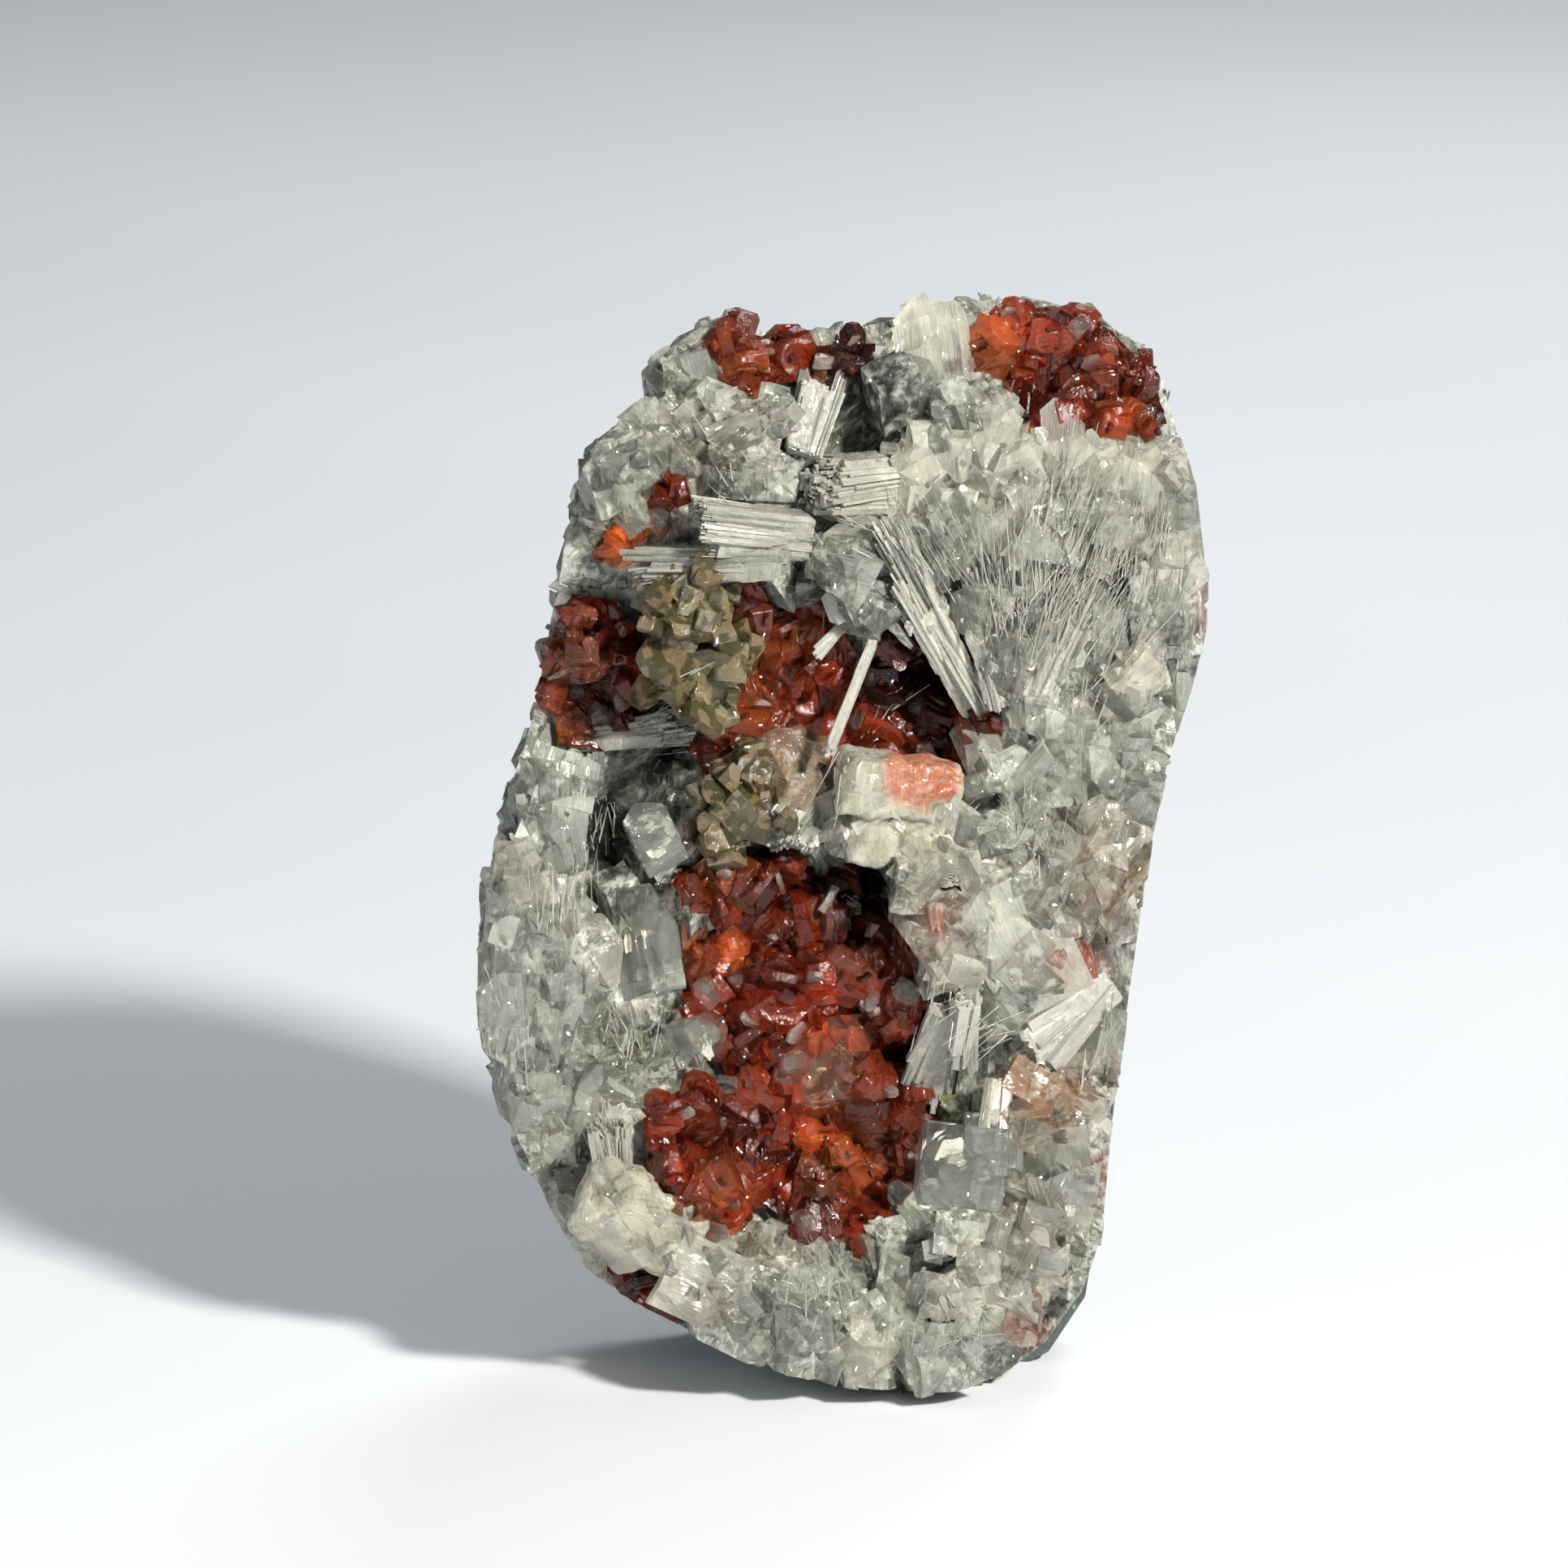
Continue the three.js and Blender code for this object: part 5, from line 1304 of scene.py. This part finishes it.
def heulandite_lumps(bench):
    points, normals = bench.landing(ALL_ROUND, LUMPS_APART, on_red)
    crop = bench.crop()
    for point, normal in zip(points, normals):
        heulandite_lump(crop, point, normal, bench.random)
    arrays = crop.arrays()
    bench.finish("heulandite_fans", arrays, "red_heulandite").visible_shadow = False
    bench.ground_for_more("heulandite_fans", arrays)


def heulandite_small_blades(bench):
    """Small blades all over the lumps, some of them pink and pale."""
    random = bench.random
    points, normals = bench.landing(
        ALL_ROUND, SMALL_BLADES_APART, lambda label: label == "heulandite_fans")
    count = len(points)
    up = unit(normals * 0.8 + random.normal(size=points.shape) * 0.6)
    size = sizes_between(SMALL_BLADES, count, random)
    tint, tip_tint = heulandite_tints(points, random)
    frost = random.uniform(*FROST, count) * (random.random(count) < FROSTED)
    tint, tip_tint = mix(tint, PINK_TONE, frost), mix(tip_tint, PALE_LIGHT, frost)
    size = size * (1 + frost[:, None])
    crop = bench.crop()
    roots = points - up * size[:, 2:] * 0.55
    crop.scatter(BLADES, roots, any_side(up, random), up, size, tint, tip_tint, random)
    bench.finish("heulandite_sparkle", crop.arrays(), "red_heulandite")


def heulandite_beds(bench):
    """The heulandite under and between the blades."""
    def tint(points):
        # Painted shade: the bed takes the blades' darkened root colour, darkened again
        return heulandite_tints(points, bench.random)[0] * GROUND_PAINTED_SHADE

    def push(points):
        return 0.3 * ripple(points, 1.8, 51) - 0.1

    for name in filter(on_red, bench.nodes):
        bed = refined(bench.nodes[name], RED_CELL, tint, push)
        bench.finish(name + "_bed", bed, "red_heulandite", name, finish="solid_heulandite")


def bundle(bench, name):
    """Scolecite: fibres in strands, each strand with its own slight lean and its own end."""
    random = bench.random
    root, tip, wide, deep, narrow, fibre, fray, whiteness = BUNDLES[name]
    root, tip = np.array(root), np.array(tip)
    length = np.linalg.norm(tip - root)
    axis = (tip - root) / length
    side = unit(np.cross(axis, (0, -1.0, 0)))
    out = np.cross(axis, side)
    kind = SHEAF if fray >= SHEAF_FROM else BUNDLE
    count = int(kind["packed"] * wide * deep / fibre ** 2)
    spot = random.uniform(-0.46, 0.46, (count, 2))
    hearts = random.uniform(-0.5, 0.5, (STRANDS, 2))
    strand = np.argmin(np.linalg.norm(spot[:, None] - hearts[None], axis=2), axis=1)
    lean = (random.normal(size=(STRANDS, 3)) * STRAND_LEAN)[strand]
    strand_end = 1 - np.abs(random.normal(size=(STRANDS, 1))[strand]) * fray * 0.6
    start = random.uniform(0, SHORTEST_FIBRE, (count, 1)) * random.integers(0, 2, (count, 1))
    end = strand_end - np.abs(random.normal(size=(count, 1))) * fray * 0.6 - 0.02 * random.random((count, 1))
    end = np.maximum(end, start + SHORTEST_FIBRE)

    def at(share):
        """Where each fibre is at this share of the bundle's length."""
        spread = narrow + (1 - narrow) * share
        beside = spot[:, :1] * wide * spread * side + spot[:, 1:] * deep * spread * out
        return root + axis * length * share + beside + lean * length * (share - 0.3)

    reach = at(end) - at(start) + random.normal(size=(count, 3)) * fibre * 0.5
    lengths = np.linalg.norm(reach, axis=1, keepdims=True)
    up = reach / lengths
    width = fibre * np.exp(random.normal(size=(count, 1)) * 0.5)
    size = np.concatenate([width, width * random.uniform(0.5, 1.0, (count, 1)), lengths], axis=1)
    tone = np.clip(whiteness + random.normal(size=count) * kind["tone_varies"], 0, 1)
    tint = mix(tiled(FIBRE_TONE, count), WHITE_TONE, tone)
    tint = mix(tint, CREAM_TONE, field(at(end), MILKY) * random.uniform(0, 0.6, count))
    crop = bench.crop()
    crop.scatter(RODS, at(start), any_side(up, random), up, size, tint, tint, random)
    bench.finish(name + "_fibres", crop.arrays(), "white_scolecite")
    core_tint = mix(FIBRE_TONE[None], WHITE_TONE, np.array([whiteness]))[0]
    core = refined(
        bench.nodes[name], CORE_CELL, lambda p: tiled(core_tint, len(p)),
        lambda p: 0.1 * ripple(p, 1.2, 64) - kind["core_sunk"], CORE_ROUNDS)
    along = (core[0] - root) @ axis
    drawn_back = np.minimum(along, length * (1 - fray) * (1 + 0.1 * ripple(core[0], 1.5, 65))) - along
    core[0][:] += drawn_back[:, None] * axis
    made = bench.finish(name + "_core", core, "white_scolecite", name, finish=kind["core_finish"])
    made.visible_shadow = kind["core_shadow"]


def smooth_masses(bench):
    """Scolecite that is massive rather than fibrous."""
    def tint(points):
        milk = mix(tiled(MASS_TONE, len(points)), PALE_MID, 0.4 + 0.7 * ripple(points, 7, 61))
        milk = mix(milk, CREAM_TONE, 0.1 + 0.6 * ripple(points, 4, 66))
        salmon = np.clip(field(points, SALMON) * 3 - 1 + 0.5 * ripple(points, 2, 67), 0, 1)
        return mix(milk, SALMON_TONE, salmon)

    def push(points):
        return 0.5 * ripple(points, 5.0, 62) + 0.22 * ripple(points, 1.6, 63) + 0.1

    for name in ("scolecite_cream_tablet", "scolecite_white_mass"):
        mass = refined(bench.nodes[name], MASS_CELL, tint, push, MASS_ROUNDS)
        bench.finish(name + "_mass", mass, "white_scolecite", name, finish="massive_scolecite")


def loose_needles(bench):
    """Sprays of single needles on whatever lies at their places."""
    random = bench.random
    crop = bench.crop()
    for across, height, angle, spread, length, count in SPRAYS:
        for _ in range(count):
            strays = [random.normal() * NEEDLES_STRAY for _ in range(2)]
            point, _ = bench.seen_at(across + strays[0], height + strays[1])
            if point is None:
                continue
            turn = math.radians(angle + random.normal() * spread * 0.5)
            up = math.cos(turn) * ACROSS + math.sin(turn) * PICTURE_UP - SIGHT * random.uniform(0.02, 0.3)
            up = unit(up)[None]
            width = random.uniform(*NEEDLE_WIDTHS)
            size = np.array([[width, width, length * random.uniform(0.3, 1.0)]])
            tint = mix(FIBRE_TONE[None], WHITE_TONE, random.uniform(0, 1, 1))
            crop.scatter(SPLINTERS, point - up * 0.3, any_side(up, random), up, size, tint, tint, random)
    bench.finish("loose_needles", crop.arrays(), "white_scolecite")


def veils_inside(crop, middle, axes, size, count, random):
    """Thin veils or cracks inside a clear crystal, which catch the light."""
    reach = size * random.uniform(-VEIL_SPREAD, VEIL_SPREAD, (count, 3))
    up = unit(axes[0] + random.normal(size=(count, 3)) * 0.5)
    width = size[1] * random.uniform(*VEIL_SHARE, count)
    length = size[0] * random.uniform(*VEIL_SHARE, count)
    plate = np.stack([width, np.full(count, VEIL_THICK), length], axis=1)
    roots = middle + reach @ axes - up * plate[:, 2:] / 2
    tint = tiled(MILK_TONE, count)
    crop.scatter(PLATES, roots, any_side(up, random), up, plate, tint, tint, random)


SLIM = np.array([0.68, 0.72, 0.94])
RUSTY_STAIN = stained(PALE_MID, RUST_TONE)
AMBER_STAIN = stained(GLASS_TONE, ORANGE_TONE)

# Kinds of lone crystal: forms, tones at root and tip, slot, finish, how much of its solid the large
# crystal fills, and how closely the smaller ones stand round it
KINDS = {
    "milky": (BLOCKS, PALE_MID, MILK_TONE, "clear_apophyllite", "pale_apophyllite", SLIM, 0.6),
    "spike": (PLATES, MILK_TONE, MILK_TONE, "pale_apophyllite", None, 0.94, 1),
    "green": (BLOCKS, MOSS_LIGHT, TAN_TONE, "green_apophyllite", None, 0.7, 1),
    "tan": (BLOCKS, RUSTY_STAIN, RUSTY_STAIN, "pale_apophyllite", None, 0.94, 1),
    "slim_clear": (GLASS, GLASS_TONE, GLASS_TONE, "clear_apophyllite", None, SLIM, 0.6),
    "amber": (GLASS, AMBER_STAIN, AMBER_STAIN, "clear_apophyllite", None, 0.94, 1),
    "clear": (GLASS, GLASS_TONE, GLASS_TONE, "clear_apophyllite", None, 0.94, 1),
}


def lone_crystal(bench, name, milk, cracks):
    """One of the solids' lone crystals as a large crystal with smaller ones grown on it, nearly along
    it or, on the green ones, outwards all round."""
    random = bench.random
    kind, count, lean = GROWTHS[name]
    outwards = kind == "green"
    forms, core_tint, rim_tint, slot, finish, fill, spread = KINDS[kind]
    middle, axes, size = long_box(*triangles_of(bench.nodes[name]))
    up = unit(tiled(axes[0], count) + random.normal(size=(count, 3)) * lean)
    reach = size * random.uniform(-GROWTH_SPREAD, GROWTH_SPREAD, (count, 3)) * spread
    if outwards:
        up = unit(reach @ axes / size.mean() * 1.6 - SIGHT * 0.5 + random.normal(size=(count, 3)) * lean)
    share = random.uniform(*(ROUND_SHARE if outwards else GROWTH_SHARE), (count, 1))
    small = size[[1, 2, 0]] * share * random.uniform(0.7, 1.2, (count, 3))
    side = squared(axes[1] + random.normal(size=(count, 3)) * lean, up)
    large = size[[1, 2, 0]] * fill
    crop = bench.crop()
    crop.scatter(
        forms, (middle - axes[0] * large[2] / 2)[None], axes[1][None], axes[0][None], large[None],
        core_tint[None], rim_tint[None], random)
    tint = mix(tiled(core_tint, count), rim_tint, random.uniform(0, 1, count))
    tip_tint = mix(tiled(rim_tint, count), PALE_LIGHT, random.uniform(0, 0.3, count))
    if outwards:
        tint = tint * random.uniform(0.4, 1.0, (count, 1))
        tip_tint = mix(tip_tint, PALE_MID, random.uniform(-0.4, 0.4, count))
    roots = middle + reach @ axes - up * small[:, 2:] / 2
    crop.scatter(forms, roots, side, up, small, tint, tip_tint, random)
    arrays = crop.arrays()
    made = bench.finish(name + "_growth", arrays, slot, name, finish=finish)
    made.visible_shadow = outwards
    bench.ground_for_more(name + "_growth", arrays)
    if forms is GLASS:
        veils_inside(milk, middle, axes, size, VEILS, random)
        veils_inside(cracks, middle, axes, size, CRACKS, random)


def glassy_crystals(bench, cracks):
    """Small glassy crystals that stand by themselves."""
    random = bench.random
    crop = bench.crop()
    tint = GLASS_TONE[None]
    for across, height, width, length in GLINTS:
        point, normal = bench.seen_at(across, height)
        if point is None:
            continue
        up = unit(normal * 0.7 - SIGHT * 0.3 + random.normal(size=3) * 0.5)[None]
        size = np.array([[width, width * random.uniform(0.6, 0.9), length]])
        side = any_side(up, random)
        crop.scatter(GLASS, point - up * length * 0.4, side, up, size, tint, tint, random)
        axes = np.concatenate([up, side, np.cross(up, side)])
        veils_inside(cracks, point + up[0] * length * 0.2, axes, size[0][[2, 0, 1]], CRACKS, random)
    bench.finish("glassy_crystals", crop.arrays(), "clear_apophyllite").visible_shadow = False


def clear_and_green_crystals(bench):
    """The crystals that stand out of the crust, with the veils and cracks inside the clear ones."""
    milk, cracks = bench.crop(), bench.crop()
    for name in GROWTHS:
        lone_crystal(bench, name, milk, cracks)
    glassy_crystals(bench, cracks)
    bench.finish("clear_crystal_veils", milk.arrays(), "white_scolecite")
    bench.finish("clear_crystal_cracks", cracks.arrays(), "clear_apophyllite").visible_shadow = False


def glitter(bench):
    """Tiny crystals whose end faces flash in the light, on crust, heulandite and lone crystals."""
    random = bench.random
    key_place = np.array(LIGHTS["key"][0]) / MM
    flash = unit(unit(key_place - PICTURE_MIDDLE) - SIGHT)
    shiny = ("heulandite_fans", *(name + "_growth" for name in GROWTHS))
    points, _ = bench.landing((FRONT,), GLITTER_APART, lambda label: on_crust(label) or label in shiny)
    count = len(points)
    up = unit(flash + random.normal(size=(count, 3)) * GLITTER_LEAN)
    size = random.uniform(*GLITTER_SIZES, (count, 1)) * random.uniform(0.5, 1.2, (count, 3)) * GLITTER_SHAPE
    tint = tiled(GLASS_TONE, count)
    crop = bench.crop()
    roots = points - up * size[:, 2:] * 0.55
    crop.scatter(SPARKS, roots, any_side(up, random), up, size, tint, tint, random)
    bench.finish("glitter", crop.arrays(), "clear_apophyllite").visible_shadow = False


# Floor, light and camera

def lay_floor():
    """A pale floor that reaches past the picture on all sides."""
    bm = bmesh.new()
    bmesh.ops.create_circle(bm, cap_ends=True, segments=96, radius=FLOOR_RADIUS)
    mesh = bpy.data.meshes.new("floor")
    bm.to_mesh(mesh)
    bm.free()
    floor = bpy.data.objects.new("floor", mesh)
    bpy.context.scene.collection.objects.link(floor)
    mesh.materials.append(floor_material())


def set_lights():
    world = bpy.data.worlds.new("studio")
    bpy.context.scene.world = world
    world.use_nodes = True
    sky = world.node_tree.nodes["Background"]
    sky.inputs["Color"].default_value = colour4(SKY_TONE)
    sky.inputs["Strength"].default_value = SKY_STRENGTH
    for name, (place, width, power, colour) in LIGHTS.items():
        light = bpy.data.lights.new(name, "AREA")
        light.size = width
        light.energy = power
        light.color = colour
        lamp = bpy.data.objects.new(name, light)
        lamp.location = place
        lamp.rotation_euler = (LIT_MIDDLE - Vector(place)).to_track_quat("-Z", "Y").to_euler()
        bpy.context.scene.collection.objects.link(lamp)


def set_camera():
    camera = bpy.data.objects.new("camera", bpy.data.cameras.new("camera"))
    camera.data.lens = LENS
    camera.data.sensor_width = SENSOR
    camera.data.clip_start = 0.01
    camera.data.clip_end = 50
    distance = PICTURE_WIDTH * LENS / SENSOR
    camera.location = Vector((PICTURE_MIDDLE - SIGHT * distance) * MM)
    camera.rotation_euler = Vector(SIGHT).to_track_quat("-Z", "Y").to_euler()
    scene = bpy.context.scene
    scene.collection.objects.link(camera)
    scene.camera = camera
    scene.view_settings.view_transform = "Standard"
    scene.cycles.max_bounces = 7
    scene.cycles.diffuse_bounces = 2
    scene.cycles.glossy_bounces = 2
    scene.cycles.transmission_bounces = 5


bench = Bench(frame["nodes"], np.array(cad_low[:]) / MM, np.array(cad_high[:]) / MM)
base_rock(bench)
crust_layer(bench, "crust_blocks", BLOCKS)
crust_layer(bench, "crust_chips", BLOCKS)
crust_layer(bench, "crust_flakes", BLOCKS + PLATES)
heulandite_lumps(bench)
heulandite_small_blades(bench)
heulandite_beds(bench)
for bundle_name in BUNDLES:
    bundle(bench, bundle_name)
smooth_masses(bench)
loose_needles(bench)
clear_and_green_crystals(bench)
glitter(bench)
lay_floor()
set_lights()
set_camera()
